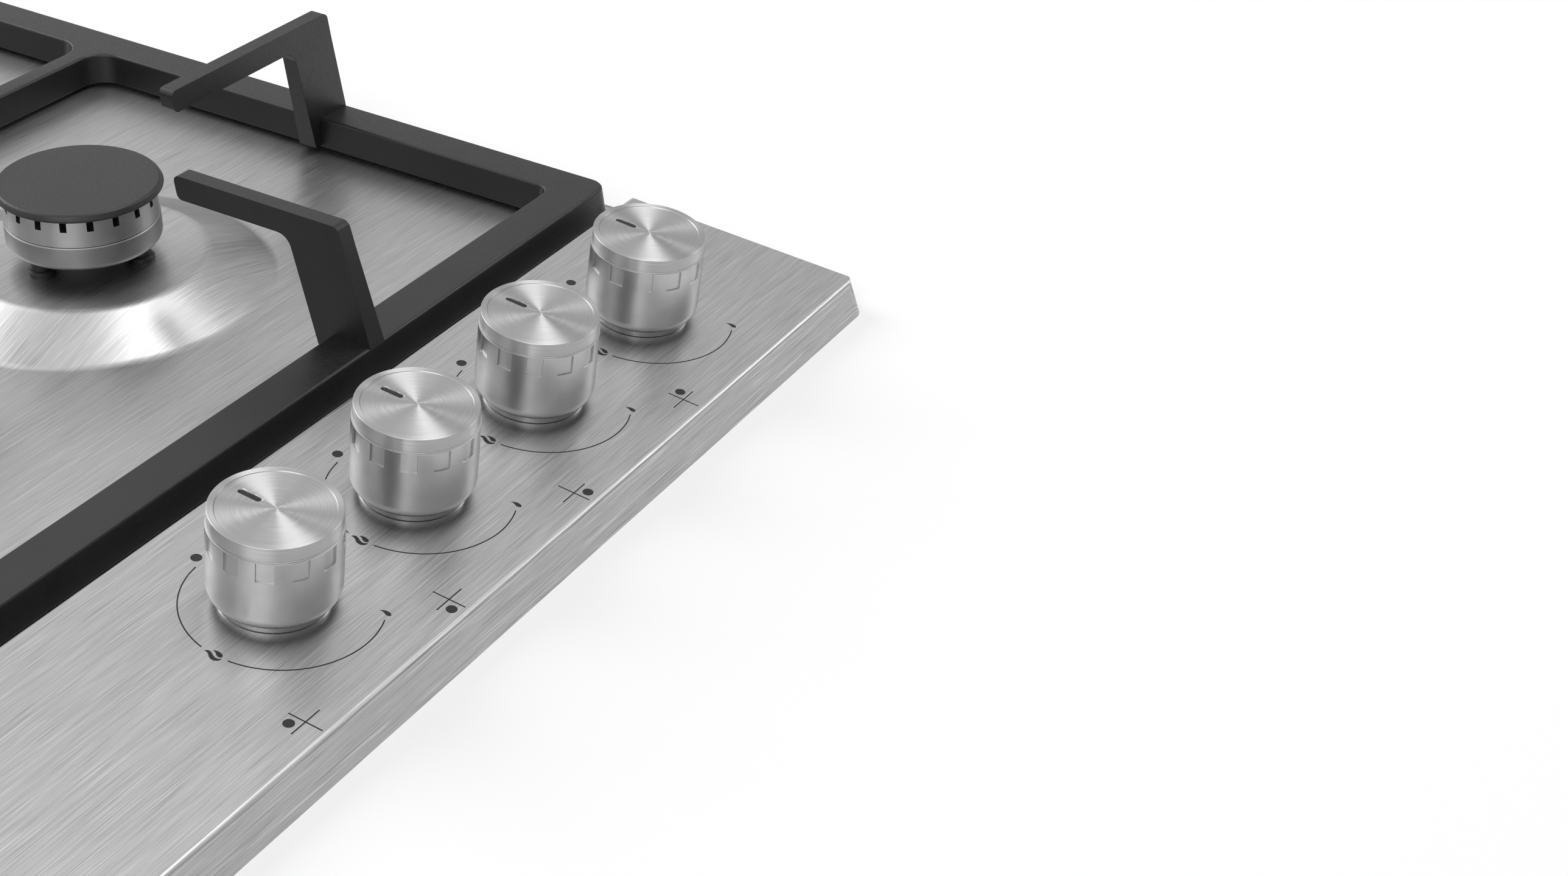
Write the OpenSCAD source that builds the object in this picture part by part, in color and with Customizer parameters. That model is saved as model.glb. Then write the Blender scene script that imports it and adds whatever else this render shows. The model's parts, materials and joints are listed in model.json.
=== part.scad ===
// Built-in gas hob: steel top with a sloping control panel in front, four burners, two cast pan supports.
// X runs to the right, Y to the back and Z up. The origin is the centre of the hob on the worktop's plane.

/* [Hob] */
// Width of the top plate
hob_w = 590; // [580:1:600]
// Depth of the top plate
hob_d = 520; // [518:1:530]
// Height of the main plate over the worktop
plate_z = 8.6; // [8:0.1:9.4]
// Thickness of the pressed sheet
sheet_t = 1; // [0.8:0.1:1.2]
// Plan radius of the plate's corners
hob_r = 6; // [4:0.5:8]

/* [Control panel] */
// Slope of the panel, rising to the back
panel_tilt = 5.54; // [4:0.1:7]
// Depth of the raised panel from the hob's front edge
panel_d = 84.9; // [82:0.1:88]
// How far the panel's top is drawn in at each end
panel_end = 6.5; // [4:0.5:10]
// Radius of the panel's front and back edges
panel_r = 1.8; // [1:0.1:2.4]

/* [Knobs] */
// Distance of the last knob's axis from the hob's right edge
knob_side_in = 63.25; // [60:0.25:66]
// Distance between neighbouring knobs
knob_pitch = 57.5; // [52:0.5:60]
// Distance of the knob row from the hob's front edge
knob_in = 45.4; // [42:0.1:48]
// Height of the panel at the knob axes
knob_z = 14.4; // [13:0.1:15]
// Largest radius of the knob's body
knob_r = 17; // [16:0.1:18]
// Height of the knob over the panel
knob_h = 28.4; // [27:0.1:31]
// Height of the knob's metal cap
knob_cap_h = 4; // [3:0.1:5]
// Number of finger pockets round the knob
pocket_count = 12; // [8:1:14]
// Travel of the knob when it is pushed in
push_travel = 2.5; // [2:0.1:2.6]

/* [Burners] */
// Cap radius of the small burner, front right
cap_small_r = 25.3; // [24:0.1:27]
// Cap radius of the medium burners, rear left and rear right
cap_medium_r = 36; // [33:0.5:38]
// Cap radius of the large burner, front left
cap_large_r = 48; // [45:0.5:50]
// Distance of the burner axes from the hob's middle line
burner_x = 165.5; // [160:0.5:168]
// Height of the raised seats over the main plate
seat_h = 8.4; // [7:0.1:9]
// Height of the burner's cup over the worktop
cup_z = 22.5; // [22:0.1:23]
// Height of the head's lower edge over the worktop
head_z = 30.5; // [29.5:0.1:31.5]
// Height of the cap's lower edge over the worktop
cap_z = 39.7; // [39:0.1:40.5]
// Thickness of the cap
cap_t = 2.3; // [1.8:0.1:3]
// Angle between neighbouring flame slots on the small burner
slot_step = 20; // [18:2:24]

/* [Pan supports] */
// Gap between each pan support and the hob's middle line
grate_gap = 3; // [2:0.1:4]
// Distance of the supports' outer sides from the hob's edge
grate_side_in = 5.2; // [4:0.1:7]
// Distance of the supports' front from the hob's front edge
grate_front_in = 93.4; // [92:0.1:96]
// Distance of the supports' back from the hob's back edge
grate_back_in = 7.6; // [6:0.1:10]
// Width of the side rails at the top
side_rail_w = 13.5; // [12:0.1:15]
// Width of the front and back rails at the top
end_rail_w = 14.2; // [13:0.1:15]
// Width of the rib between the two burners
rib_w = 7.2; // [6:0.1:9]
// Height of the rails' tops over the worktop
rail_z = 20.2; // [19:0.1:21]
// Height of the fingers' tops over the worktop
pan_z = 56; // [54:0.5:60]
// Depth of the finger arms
arm_h = 7.7; // [7:0.1:9]
// Thickness of the fingers
finger_t = 6.1; // [5:0.1:7]

/* [Lower box] */
// Distance of the box's sides from the hob's sides
box_side_in = 25; // [22:0.5:30]
// Distance of the box's front and back from the hob's edges
box_end_in = 25; // [23:0.5:28]
// Depth of the box under the worktop's plane
box_drop = 44; // [43:0.5:50]

/* [Hidden] */
$fn = 96;
arc_steps = 6;
over = 0.5;
touch_gap = 0.3;
bend_bulge = 0.15;
run_gap = 0.05;
slide_gap = 0.4;
hob_front = -hob_d / 2;
knob_y = hob_front + knob_in;
panel_back = hob_front + panel_d;
burner_names = ["rear_left", "front_left", "front_right", "rear_right"];
cap_rs = [cap_medium_r, cap_large_r, cap_small_r, cap_medium_r];

// Pan supports: outer edges at the rails' tops
grate_x0 = grate_gap;
grate_x1 = hob_w / 2 - grate_side_in;
grate_y0 = hob_front + grate_front_in;
grate_y1 = hob_d / 2 - grate_back_in;
rib_y = (grate_y0 + grate_y1) / 2;
foot_h = 1;
rail_base = plate_z + foot_h;
rail_draft = 5.7;
rail_spread = (rail_z - rail_base) * tan(rail_draft);
rail_edge_r = 1;
grate_corner_r = 5;
inner_corner_r = 4.5;
rib_corner_r = 9;
window_slack = 0.2;
post_w = 17.4;
post_top_w = 18.2;
end_lean = 10.1;
side_lean = 6.7;
rib_post_w = 22;
elbow_r = 5;
finger_edge_r = 2;
tip_slant = 1.2;
tip_gap_small = 15;
tip_gap_other = 7;
tip_rs = [cap_medium_r + tip_gap_other, cap_large_r + tip_gap_other,
          cap_small_r + tip_gap_small, cap_medium_r + tip_gap_other];

// Burners: places and radii
burner_yf = (grate_y0 + end_rail_w + rib_y - rib_w / 2) / 2;
burner_yr = (grate_y1 - end_rail_w + rib_y + rib_w / 2) / 2;
burner_xs = [-burner_x, -burner_x, burner_x, burner_x];
burner_ys = [burner_yr, burner_yf, burner_yf, burner_yr];
seat_z = plate_z + seat_h;
seat_flat_over = 11;
seat_out_over = 30.5;
seat_bend_r = 8;
ring_in = 10.3;
neck_r = 12;
neck_bottom = 8;
neck_gap = 0.2;
mix_r = 8.6;
mix_wall = 1.4;
mix_bottom = 12;
cup_in = 1.9;
cup_round_r = 2.4;
head_in = 3.1;
head_wall = 3;
head_floor = 2.4;
head_seam = 0.1;
slot_w = 1.8;
slot_h = 3.3;
slot_arc = 2 * PI * cap_small_r * slot_step / 360;
cap_plug_h = 1.6;
cap_edge_r = 1.1;
cap_lean = 1.2;
holder_r = 14.4;
holder_floor = 6;
boss_r = 8;
boss_drop = 24;
holder_bottom = -12;
injector_r = 3;
injector_hex_r = 4.4;
injector_hex_h = 5;
electrode_in = 8;
electrode_turn = 172;
probe_turn = 292;
ceramic_r = 1.7;
pin_hole_gap = 0.4;
pin_r = 0.8;
ceramic_top = 30;
pin_top = 35;
pin_bottom = -8;
collar_r = 4;
collar_h = 1.6;
lead_r = 1.2;

// Taps: heights along the tilted tap axis, from the panel's top
spindle_r = 3;
flat_cut = 2.1;
hub_r = 5.4;
hub_bottom = 4;
spindle_top = 17;
panel_hole_r = 6;
collar_ring_r = 14.2;
collar_ring_t = 1.4;
collar_ring_h = 5.2;
skirt_gap = 0.4;
skirt_wall = 0.9;
skirt_z = push_travel + touch_gap;
skirt_curve_h = 3.6;
knob_wall = 1.6;
knob_web = 3;
cap_groove = 0.3;
cap_top_in = 0.4;
dish_in = 1.7;
dish_h = 0.4;
pocket_w = 4.7;
pocket_h = 6;
pocket_depth = 0.7;
pointer_r0 = 5.3;
pointer_r1 = 10.5;
pointer_w = 1.3;
pointer_depth = 0.6;
tap_r = 10;
tap_top = -12;
tap_bottom = -46;
bonnet_t = 2;
chamber_r = 6;
chamber_bottom = -28;
shoulder_r = 5.5;
shoulder_h = 2;
seat_play = 0.1;
spindle_bottom = -31;
spindle_rest = 0.7;
spindle_room = push_travel + spindle_rest;
rod_r = 1.5;
rod_bottom = -44;
spring_in_r = 3.6;
spring_out_r = 5.2;
nipple_r = 4.5;
nipple_bite = 1.5;
rail_tube_r = 7;
rail_tube_wall = 1.5;
rail_tube_y = 20;
rail_tube_z = -30;
outlet_z = -42;
outlet_r = 4.2;
outlet_out = 12;
pipe_r = 3;
pipe_stub = 18;
pipe_z = -18;
pipe_low_z = -35;
strip_t = 2;
strip_w = 18;
strip_end = 16;
switch_r = 8;
switch_h = 6;
switch_bore_r = 4;

// Box and what it holds
box_w = hob_w - 2 * box_side_in;
box_d = hob_d - 2 * box_end_in;
box_r = 8;
box_flange = 8;
box_floor = -box_drop;
plate_under = plate_z - sheet_t;
seal_w = 10;
screw_r = 1.8;
screw_head_r = 3.6;
screw_head_h = 2;
box_screw_share = 0.36;
clamp_w = 20;
clamp_t = 1.5;
clamp_top = -6;
clamp_bottom = -32;
clamp_foot = 8;
clamp_y_share = 0.32;
clamp_screw_r = 2.5;
clamp_screw_out = 4.5;
clamp_screw_over = 3;
clamp_screw_l = 30;
supply_in = 45;
supply_x = hob_w / 2 - supply_in;
supply_side = 22;
block_d = 20;
block_h = 30;
inlet_z = -27.5;
inlet_r = 10.48;
inlet_bore_r = 7;
inlet_l = 14;
inlet_hole_gap = 0.5;
inlet_neck_r = 9.3;
inlet_neck_over = 0.5;
bracket_t = 3;
bracket_w = 10;
generator_w = 64;
generator_d = 38;
generator_h = 24;
generator_x = -20;
generator_back = 25;
generator_y = box_d / 2 - sheet_t - generator_back - generator_d / 2;
generator_foot = 9;
generator_foot_t = 3;
terminal_w = 46;
terminal_d = 32;
terminal_h = 22;
terminal_in = 80;
terminal_x = terminal_in - hob_w / 2;
terminal_wall = 1.5;
gland_r = 9;
gland_bore_r = 5;
gland_l = 16;
gland_z = -30;
lead_z = -40;
lead_side_step = 10;
foot_pad_r = 4.2;
foot_peg_r = 1.9;
foot_peg_h = 4;
foot_in = 8;

function unit(v) = v / norm(v);

// Arc that rounds corner b of the path a, b, c
function fillet(a, b, c, r) =
    let (u = unit(a - b), w = unit(c - b), half = acos(u * w) / 2)
    let (o = b + unit(u + w) * r / sin(half), s = b + u * r / tan(half) - o, e = b + w * r / tan(half) - o)
    let (a0 = atan2(s[1], s[0]), turn = atan2(e[1], e[0]) - a0)
    let (sweep = turn > 180 ? turn - 360 : turn < -180 ? turn + 360 : turn)
    [for (k = [0 : arc_steps]) o + r * [cos(a0 + sweep * k / arc_steps), sin(a0 + sweep * k / arc_steps)]];

// Closed outline with each corner rounded by its own radius
function rounded(points, radii) =
    let (n = len(points))
    [for (i = [0 : n - 1]) each radii[i] > 0
        ? fillet(points[(i + n - 1) % n], points[i], points[(i + 1) % n], radii[i]) : [points[i]]];

// Height of the panel's top at a place from front to back
function panel_top(y) = knob_z + (y - knob_y) * tan(panel_tilt);

function knob_x(i) = hob_w / 2 - knob_side_in - knob_pitch * (3 - i);

// Place in the hob's frame of a point on a tap, by its distance behind the axis and along it
function tap_point(i, y, z) = [knob_x(i), knob_y + y * cos(panel_tilt) - z * sin(panel_tilt),
    knob_z + y * sin(panel_tilt) + z * cos(panel_tilt)];

function around(i, r, turn) = [burner_xs[i] + r * cos(turn), burner_ys[i] + r * sin(turn)];

module at_tap(i) {
    translate([knob_x(i), knob_y, knob_z]) rotate([panel_tilt, 0, 0]) children();
}

module at_burner(i) {
    translate([burner_xs[i], burner_ys[i], 0]) children();
}

module round_rect(w, d, r) {
    square([w - 2 * r, d], center = true);
    square([w, d - 2 * r], center = true);
    for (sx = [-1, 1], sy = [-1, 1]) translate([sx * (w / 2 - r), sy * (d / 2 - r)]) circle(r);
}

// Cylinder between two heights
module post(r, z0, z1) {
    translate([0, 0, z0]) cylinder(r = r, h = z1 - z0);
}

module tube(r_out, r_in, z0, z1) {
    difference() {
        post(r_out, z0, z1);
        post(r_in, z0 - over, z1 + over);
    }
}

// Round rod through a list of points
module run(points, r) {
    for (i = [0 : len(points) - 2]) let (d = points[i + 1] - points[i])
        translate(points[i]) rotate([0, acos(d[2] / norm(d)), atan2(d[1], d[0])])
            cylinder(r = r, h = norm(d));
    for (i = [1 : len(points) - 2]) translate(points[i]) sphere(r + bend_bulge);
}

// Extrudes an outline drawn in Y and Z along X, centred
module along_x(l) {
    translate([-l / 2, 0, 0]) rotate([90, 0, 90]) linear_extrude(l) children();
}

// Extrudes an outline drawn in X and Z along Y, centred
module along_y(l) {
    translate([0, l / 2, 0]) rotate([90, 0, 0]) linear_extrude(l) children();
}

// Raised panel, with every face moved inwards by skin
module panel_form(skin) {
    drop = skin / cos(panel_tilt);
    front = hob_front + skin;
    back = panel_back - skin;
    side = hob_w / 2 - skin;
    top = panel_top(panel_back) - drop;
    intersection() {
        along_x(hob_w) polygon(rounded([[front, 0], [front, panel_top(front) - drop],
            [back, panel_top(back) - drop], [back, 0]], [0, panel_r - skin / 2, panel_r - skin / 2, 0]));
        translate([0, hob_front + panel_d / 2, 0]) along_y(panel_d + over)
            polygon([[-side, 0], [-side, plate_under], [panel_end - side, top + over],
                [side - panel_end, top + over], [side, plate_under], [side, 0]]);
        translate([0, hob_front + panel_d / 2, 0]) linear_extrude(top + over)
            round_rect(hob_w - 2 * skin, panel_d - 2 * skin, hob_r - skin);
    }
}

// Raised burner seat, lowered by skin
module seat_form(i, skin) {
    flat_r = cap_rs[i] + seat_flat_over;
    out_r = cap_rs[i] + seat_out_over;
    low = plate_under - skin;
    at_burner(i) rotate_extrude() polygon(rounded([[0, low], [out_r + seat_bend_r, low],
        [out_r + seat_bend_r, plate_z - skin], [out_r, plate_z - skin], [flat_r, seat_z - skin],
        [0, seat_z - skin]],
        [0, 0, 0, seat_bend_r, seat_bend_r, 0]));
}

module plate_form(skin) {
    linear_extrude(plate_z - skin) round_rect(hob_w - 2 * skin, hob_d - 2 * skin, hob_r - skin);
    panel_form(skin);
    for (i = [0 : 3]) seat_form(i, skin);
}

module top_plate() {
    color("silver") difference() {
        plate_form(0);
        translate([0, 0, -over]) linear_extrude(2 * over)
            round_rect(hob_w - 2 * sheet_t, hob_d - 2 * sheet_t, hob_r - sheet_t);
        plate_form(sheet_t);
        for (i = [0 : 3]) {
            at_tap(i) post(panel_hole_r, -sheet_t - over, over);
            at_burner(i) post(neck_r + neck_gap, plate_z, seat_z + over);
            for (turn = [electrode_turn, probe_turn])
                translate(around(i, cap_rs[i] - electrode_in, turn))
                    post(ceramic_r + pin_hole_gap, plate_z, seat_z + over);
        }
    }
}

module box_screw_places() {
    for (sx = [-1, 1], sy = [-box_screw_share, 0, box_screw_share])
        translate([sx * (box_w + box_flange) / 2, sy * box_d, 0]) children();
}

module burner_box() {
    color("gainsboro") difference() {
        union() {
            translate([0, 0, box_floor]) linear_extrude(plate_under - box_floor)
                round_rect(box_w, box_d, box_r);
            translate([0, 0, plate_under - sheet_t]) linear_extrude(sheet_t)
                round_rect(box_w + 2 * box_flange, box_d + 2 * box_flange, box_r + box_flange);
        }
        translate([0, 0, box_floor + sheet_t]) linear_extrude(plate_under - box_floor)
            round_rect(box_w - 2 * sheet_t, box_d - 2 * sheet_t, box_r - sheet_t);
        box_screw_places() post(screw_r + run_gap, plate_under - sheet_t - over, plate_z);
        translate([supply_x, box_d / 2, inlet_z]) rotate([90, 0, 0])
            post(inlet_r + inlet_hole_gap, -sheet_t, 2 * sheet_t);
        translate([terminal_x, box_d / 2, gland_z]) rotate([90, 0, 0])
            post(gland_r + inlet_hole_gap, -sheet_t, 2 * sheet_t);
    }
}

module box_screws() {
    color("lightgray") box_screw_places() {
        post(screw_r, plate_under - sheet_t, plate_under);
        post(screw_head_r, plate_under - sheet_t - screw_head_h, plate_under - sheet_t);
    }
}

module worktop_seal() {
    color("dimgray") difference() {
        linear_extrude(plate_under) round_rect(hob_w - 2 * sheet_t, hob_d - 2 * sheet_t, hob_r - sheet_t);
        translate([0, 0, -over]) linear_extrude(plate_z + 2 * over)
            square([hob_w - 2 * sheet_t - 2 * seal_w, hob_d - 2 * sheet_t - 2 * seal_w], center = true);
    }
}

module clamp_places() {
    for (sx = [-1, 1], sy = [-clamp_y_share, clamp_y_share])
        translate([sx * box_w / 2, sy * box_d, 0]) rotate([0, 0, sx < 0 ? 180 : 0]) children();
}

module worktop_clamps() {
    color("lightgray") clamp_places() difference() {
        union() {
            translate([0, -clamp_w / 2, clamp_bottom]) cube([clamp_t, clamp_w, clamp_top - clamp_bottom]);
            translate([0, -clamp_w / 2, clamp_bottom]) cube([clamp_foot, clamp_w, clamp_t]);
        }
        translate([clamp_screw_out, 0, 0])
            post(clamp_screw_r + run_gap, clamp_bottom - over, clamp_bottom + clamp_t + over);
    }
}

module clamp_screws() {
    color("silver") clamp_places() translate([clamp_screw_out, 0, 0])
        post(clamp_screw_r, clamp_bottom - clamp_screw_over,
            clamp_bottom - clamp_screw_over + clamp_screw_l);
}

module manifold_x(r, l0, l1) {
    p = tap_point(0, rail_tube_y, rail_tube_z);
    translate([0, p[1], p[2]]) rotate([0, 90, 0]) post(r, l0, l1);
}

module supply_y(r, y1) {
    p = tap_point(0, rail_tube_y, rail_tube_z);
    translate([supply_x, p[1], p[2]]) rotate([-90, 0, 0]) post(r, 0, y1 - p[1]);
}

module gas_manifold() {
    p = tap_point(0, rail_tube_y, rail_tube_z);
    inner = rail_tube_r - rail_tube_wall;
    x0 = knob_x(0) - strip_end;
    y1 = box_d / 2 - block_d - sheet_t;
    color("darkgray") difference() {
        union() {
            manifold_x(rail_tube_r, x0, supply_x);
            supply_y(rail_tube_r, y1);
            translate([supply_x, p[1], p[2]]) sphere(rail_tube_r + bend_bulge);
            for (x = [x0, (knob_x(1) + knob_x(2) - bracket_w) / 2, (knob_x(2) + knob_x(3) - bracket_w) / 2])
                translate([x, p[1] - bracket_t / 2, box_floor + sheet_t])
                    cube([bracket_w, bracket_t, p[2] - inner - box_floor - sheet_t]);
        }
        manifold_x(inner, x0 + rail_tube_wall, supply_x);
        supply_y(inner, y1 + over);
        translate([supply_x, p[1], p[2]]) sphere(inner + bend_bulge);
        for (i = [0 : 3]) at_tap(i) translate([0, 0, rail_tube_z]) rotate([-90, 0, 0])
            post(nipple_r + run_gap, rail_tube_y - rail_tube_r - over, rail_tube_y);
    }
}

module inlet_block() {
    p = tap_point(0, rail_tube_y, rail_tube_z);
    y0 = box_d / 2 - sheet_t - block_d;
    thread_y = block_d + sheet_t + inlet_neck_over;
    color("goldenrod") difference() {
        union() {
            translate([supply_x - supply_side / 2, y0, inlet_z + block_h / 2 - block_h])
                cube([supply_side, block_d, p[2] + rail_tube_r - inlet_z + block_h / 2]);
            translate([supply_x, y0, inlet_z]) rotate([-90, 0, 0]) {
                post(inlet_neck_r, 0, thread_y + over);
                post(inlet_r, thread_y, block_d + sheet_t + inlet_l);
            }
        }
        translate([supply_x, y0, inlet_z]) rotate([-90, 0, 0])
            post(inlet_bore_r, block_d / 2, block_d + sheet_t + inlet_l + over);
        translate([supply_x, y0, p[2]]) rotate([-90, 0, 0])
            post(rail_tube_r - rail_tube_wall, -over, block_d / 2);
        translate([supply_x, y0 + block_d / 2, 0]) post(rail_tube_r - rail_tube_wall, inlet_z, p[2]);
    }
}

module tap(i) {
    color("goldenrod") at_tap(i) difference() {
        union() {
            post(tap_r, tap_bottom, tap_top);
            translate([0, 0, rail_tube_z]) rotate([-90, 0, 0])
                post(nipple_r, 0, rail_tube_y - rail_tube_r + nipple_bite);
            translate([0, 0, outlet_z]) rotate([-90, 0, 0]) post(outlet_r, 0, outlet_out);
        }
        post(spindle_r + run_gap, spindle_bottom - spindle_room, tap_top + over);
        post(chamber_r, chamber_bottom, tap_top - bonnet_t);
        post(rod_r + seat_play, tap_bottom - over, spindle_bottom);
    }
}

module push_rod(i) {
    color("silver") at_tap(i) post(rod_r, rod_bottom, spindle_bottom - touch_gap);
}

module return_spring(i) {
    color("gray") at_tap(i)
        tube(spring_out_r, spring_in_r, chamber_bottom, tap_top - bonnet_t - seat_play - shoulder_h);
}

module spindle(i) {
    color("silver") at_tap(i) difference() {
        union() {
            post(spindle_r, spindle_bottom, spindle_top);
            post(shoulder_r, tap_top - bonnet_t - seat_play - shoulder_h, tap_top - bonnet_t - seat_play);
        }
        translate([flat_cut, -spindle_r, hub_bottom]) cube([spindle_r, 2 * spindle_r, spindle_top]);
    }
}

// Outline of the knob's body, from the skirt's edge up to the groove under the cap
module knob_outline() {
    top = knob_h - knob_cap_h;
    bore = collar_ring_r + skirt_gap;
    polygon(rounded([[0, skirt_z], [bore + skirt_wall, skirt_z], [knob_r, skirt_z + skirt_curve_h],
        [knob_r, top - cap_groove], [knob_r - cap_groove, top - cap_groove], [knob_r - cap_groove, top],
        [0, top]],
        [0, 0, skirt_curve_h, 0, 0, 0, 0]));
}

module knob(i) {
    top = knob_h - knob_cap_h;
    color("lightgray") at_tap(i) difference() {
        rotate_extrude() knob_outline();
        tube(collar_ring_r + skirt_gap, hub_r, skirt_z - over, top - knob_web);
        post(hub_r + over, skirt_z - over, hub_bottom);
        post(knob_r - knob_wall - cap_groove, top - cap_plug_h, top + over);
        difference() {
            post(spindle_r + run_gap, hub_bottom - over, spindle_top + run_gap);
            translate([flat_cut + run_gap, -hub_r, skirt_z]) cube([hub_r, 2 * hub_r, knob_h]);
        }
        for (k = [0 : pocket_count - 1]) rotate([0, 0, 360 * k / pocket_count])
            translate([knob_r - pocket_depth, -pocket_w / 2, top - cap_groove - pocket_h])
                cube([knob_r, pocket_w, pocket_h]);
    }
}

module knob_cap(i) {
    low = knob_h - knob_cap_h;
    r = knob_r - cap_top_in;
    color("lightgray") at_tap(i) difference() {
        union() {
            rotate_extrude() polygon(rounded([[0, low], [r, low], [r, knob_h], [r - dish_in, knob_h],
                [r - dish_in - dish_h, knob_h - dish_h], [0, knob_h - dish_h]],
                [0, 0, cap_groove, 0, 0, 0]));
            post(knob_r - knob_wall - cap_groove - run_gap, low - cap_plug_h + run_gap, low);
        }
        translate([0, 0, knob_h - dish_h - pointer_depth]) linear_extrude(pointer_depth + dish_h) {
            translate([-pointer_w / 2, pointer_r0]) square([pointer_w, pointer_r1 - pointer_r0]);
            for (y = [pointer_r0, pointer_r1]) translate([0, y]) circle(pointer_w / 2);
        }
    }
}

module knob_collars() {
    color("gray") for (i = [0 : 3]) at_tap(i)
        tube(collar_ring_r, collar_ring_r - collar_ring_t, 0, collar_ring_h);
}

module pin_places(i) {
    for (turn = [electrode_turn, probe_turn]) rotate([0, 0, turn])
        translate([cap_rs[i] - electrode_in, 0, 0]) children();
}

module burner_cup(i) {
    r = cap_rs[i] - cup_in;
    head_r = cap_rs[i] - head_in;
    color("darkgray") at_burner(i) difference() {
        union() {
            post(neck_r, neck_bottom, cup_z + over);
            rotate_extrude() polygon(rounded([[0, cup_z], [r, cup_z], [r, cup_z + cup_round_r + over],
                [head_r + head_seam, head_z], [0, head_z]], [0, cup_round_r, 0, 0, 0]));
        }
        post(mix_r + slide_gap, neck_bottom - over, head_z + over);
        pin_places(i) post(ceramic_r + pin_hole_gap, cup_z - over, head_z + over);
    }
}

module burner_head(i) {
    r = cap_rs[i] - head_in;
    inner = r - head_wall;
    count = round(2 * PI * cap_rs[i] / slot_arc);
    color("lightgray") at_burner(i) difference() {
        union() {
            tube(r, inner, head_z, cap_z);
            tube(inner + over, mix_r - mix_wall, head_z, head_z + head_floor);
            tube(mix_r, mix_r - mix_wall, mix_bottom, head_z + head_floor);
        }
        for (k = [0 : count - 1]) rotate([0, 0, 360 * (k + 0.5) / count])
            translate([inner - over, -slot_w / 2, cap_z - slot_h])
                cube([head_wall + 2 * over, slot_w, slot_h + over]);
        pin_places(i) post(ceramic_r + pin_hole_gap, head_z - over, cap_z - slot_h);
    }
}

module burner_cap(i) {
    r = cap_rs[i];
    plug_r = r - head_in - head_wall - slide_gap;
    color("dimgray") at_burner(i) {
        rotate_extrude() polygon(rounded([[0, cap_z], [r, cap_z], [r - cap_lean, cap_z + cap_t],
            [0, cap_z + cap_t]],
            [0, cap_edge_r / 2, cap_edge_r, 0]));
        post(plug_r, cap_z - cap_plug_h, cap_z);
    }
}

module seat_rings() {
    color("black") for (i = [0 : 3]) at_burner(i)
        tube(cap_rs[i] - ring_in, neck_r + neck_gap, seat_z, cup_z);
}

module injector_holders() {
    color("gray") for (i = [0 : 3]) at_burner(i) difference() {
        union() {
            post(holder_r, holder_bottom, seat_z - sheet_t);
            post(boss_r, -boss_drop, holder_bottom);
        }
        post(neck_r + run_gap, neck_bottom, seat_z);
        post(mix_r + slide_gap, holder_bottom + holder_floor, neck_bottom + over);
        post(injector_r + run_gap, pipe_z, holder_bottom + holder_floor + over);
        translate([0, 0, pipe_z]) rotate([0, 90, holder_turns[i]]) post(pipe_r + run_gap, 0, boss_r + over);
    }
}

module injectors() {
    top = holder_bottom + holder_floor;
    color("goldenrod") for (i = [0 : 3]) at_burner(i) difference() {
        union() {
            post(injector_r, holder_bottom, top);
            translate([0, 0, top]) cylinder(r = injector_hex_r, h = injector_hex_h, $fn = 6);
        }
        post(pin_r, holder_bottom - over, top + injector_hex_h + over);
    }
}

// Ceramic body with a metal tip and a round collar that sits on the burner seat
module pins(turn) {
    for (i = [0 : 3]) translate(concat(around(i, cap_rs[i] - electrode_in, turn), [0])) {
        post(ceramic_r, pin_bottom, ceramic_top);
        post(pin_r, ceramic_top - over, pin_top);
        difference() {
            post(collar_r, seat_z, seat_z + collar_h);
            translate(-concat(around(i, cap_rs[i] - electrode_in, turn), [0])) at_burner(i)
                post(cap_rs[i] - ring_in + run_gap, seat_z - over, cup_z);
        }
    }
}

module electrodes() {
    color("white") pins(electrode_turn);
}

module flame_probes() {
    color("silver") pins(probe_turn);
}

// Side from which each gas pipe reaches its burner
holder_turns = [0, 270, 270, 0];

// Routes of the gas pipes, from each tap's outlet to its burner's boss
function outlet(i) = tap_point(i, outlet_out, outlet_z);
function stub(i) = tap_point(i, outlet_out + pipe_stub, outlet_z);
front_lane = (panel_back + burner_yf) / 2 - cap_large_r / 2;
pipe_lift = 16;
gas_routes = [
    [outlet(0), stub(0), [knob_x(0), front_lane + pipe_lift, pipe_z],
        [knob_x(0), burner_yr, pipe_z], [boss_r - burner_x, burner_yr, pipe_z]],
    [outlet(1), stub(1), [knob_x(1), front_lane, pipe_low_z], [-burner_x, front_lane, pipe_low_z],
        [-burner_x, burner_yf - boss_r - pipe_lift, pipe_z], [-burner_x, burner_yf - boss_r, pipe_z]],
    [outlet(2), stub(2), [burner_x, front_lane + pipe_lift, pipe_z],
        [burner_x, burner_yf - boss_r, pipe_z]],
    [outlet(3), stub(3), [knob_x(3), front_lane + pipe_lift, pipe_z], [knob_x(3), burner_yr, pipe_z],
        [burner_x + boss_r, burner_yr, pipe_z]]];

module gas_pipes() {
    color("silver") for (route = gas_routes) run(route, pipe_r);
}

module ignition_switches() {
    l = knob_x(3) - knob_x(0) + 2 * strip_end;
    color("dimgray") difference() {
        union() {
            at_tap(0) translate([-strip_end, -strip_w / 2, tap_top]) cube([l, strip_w, strip_t]);
            for (i = [0 : 3]) at_tap(i) post(switch_r, tap_top + strip_t, tap_top + strip_t + switch_h);
        }
        for (i = [0 : 3]) at_tap(i)
            post(switch_bore_r, tap_top - over, tap_top + strip_t + switch_h + over);
    }
}

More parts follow.
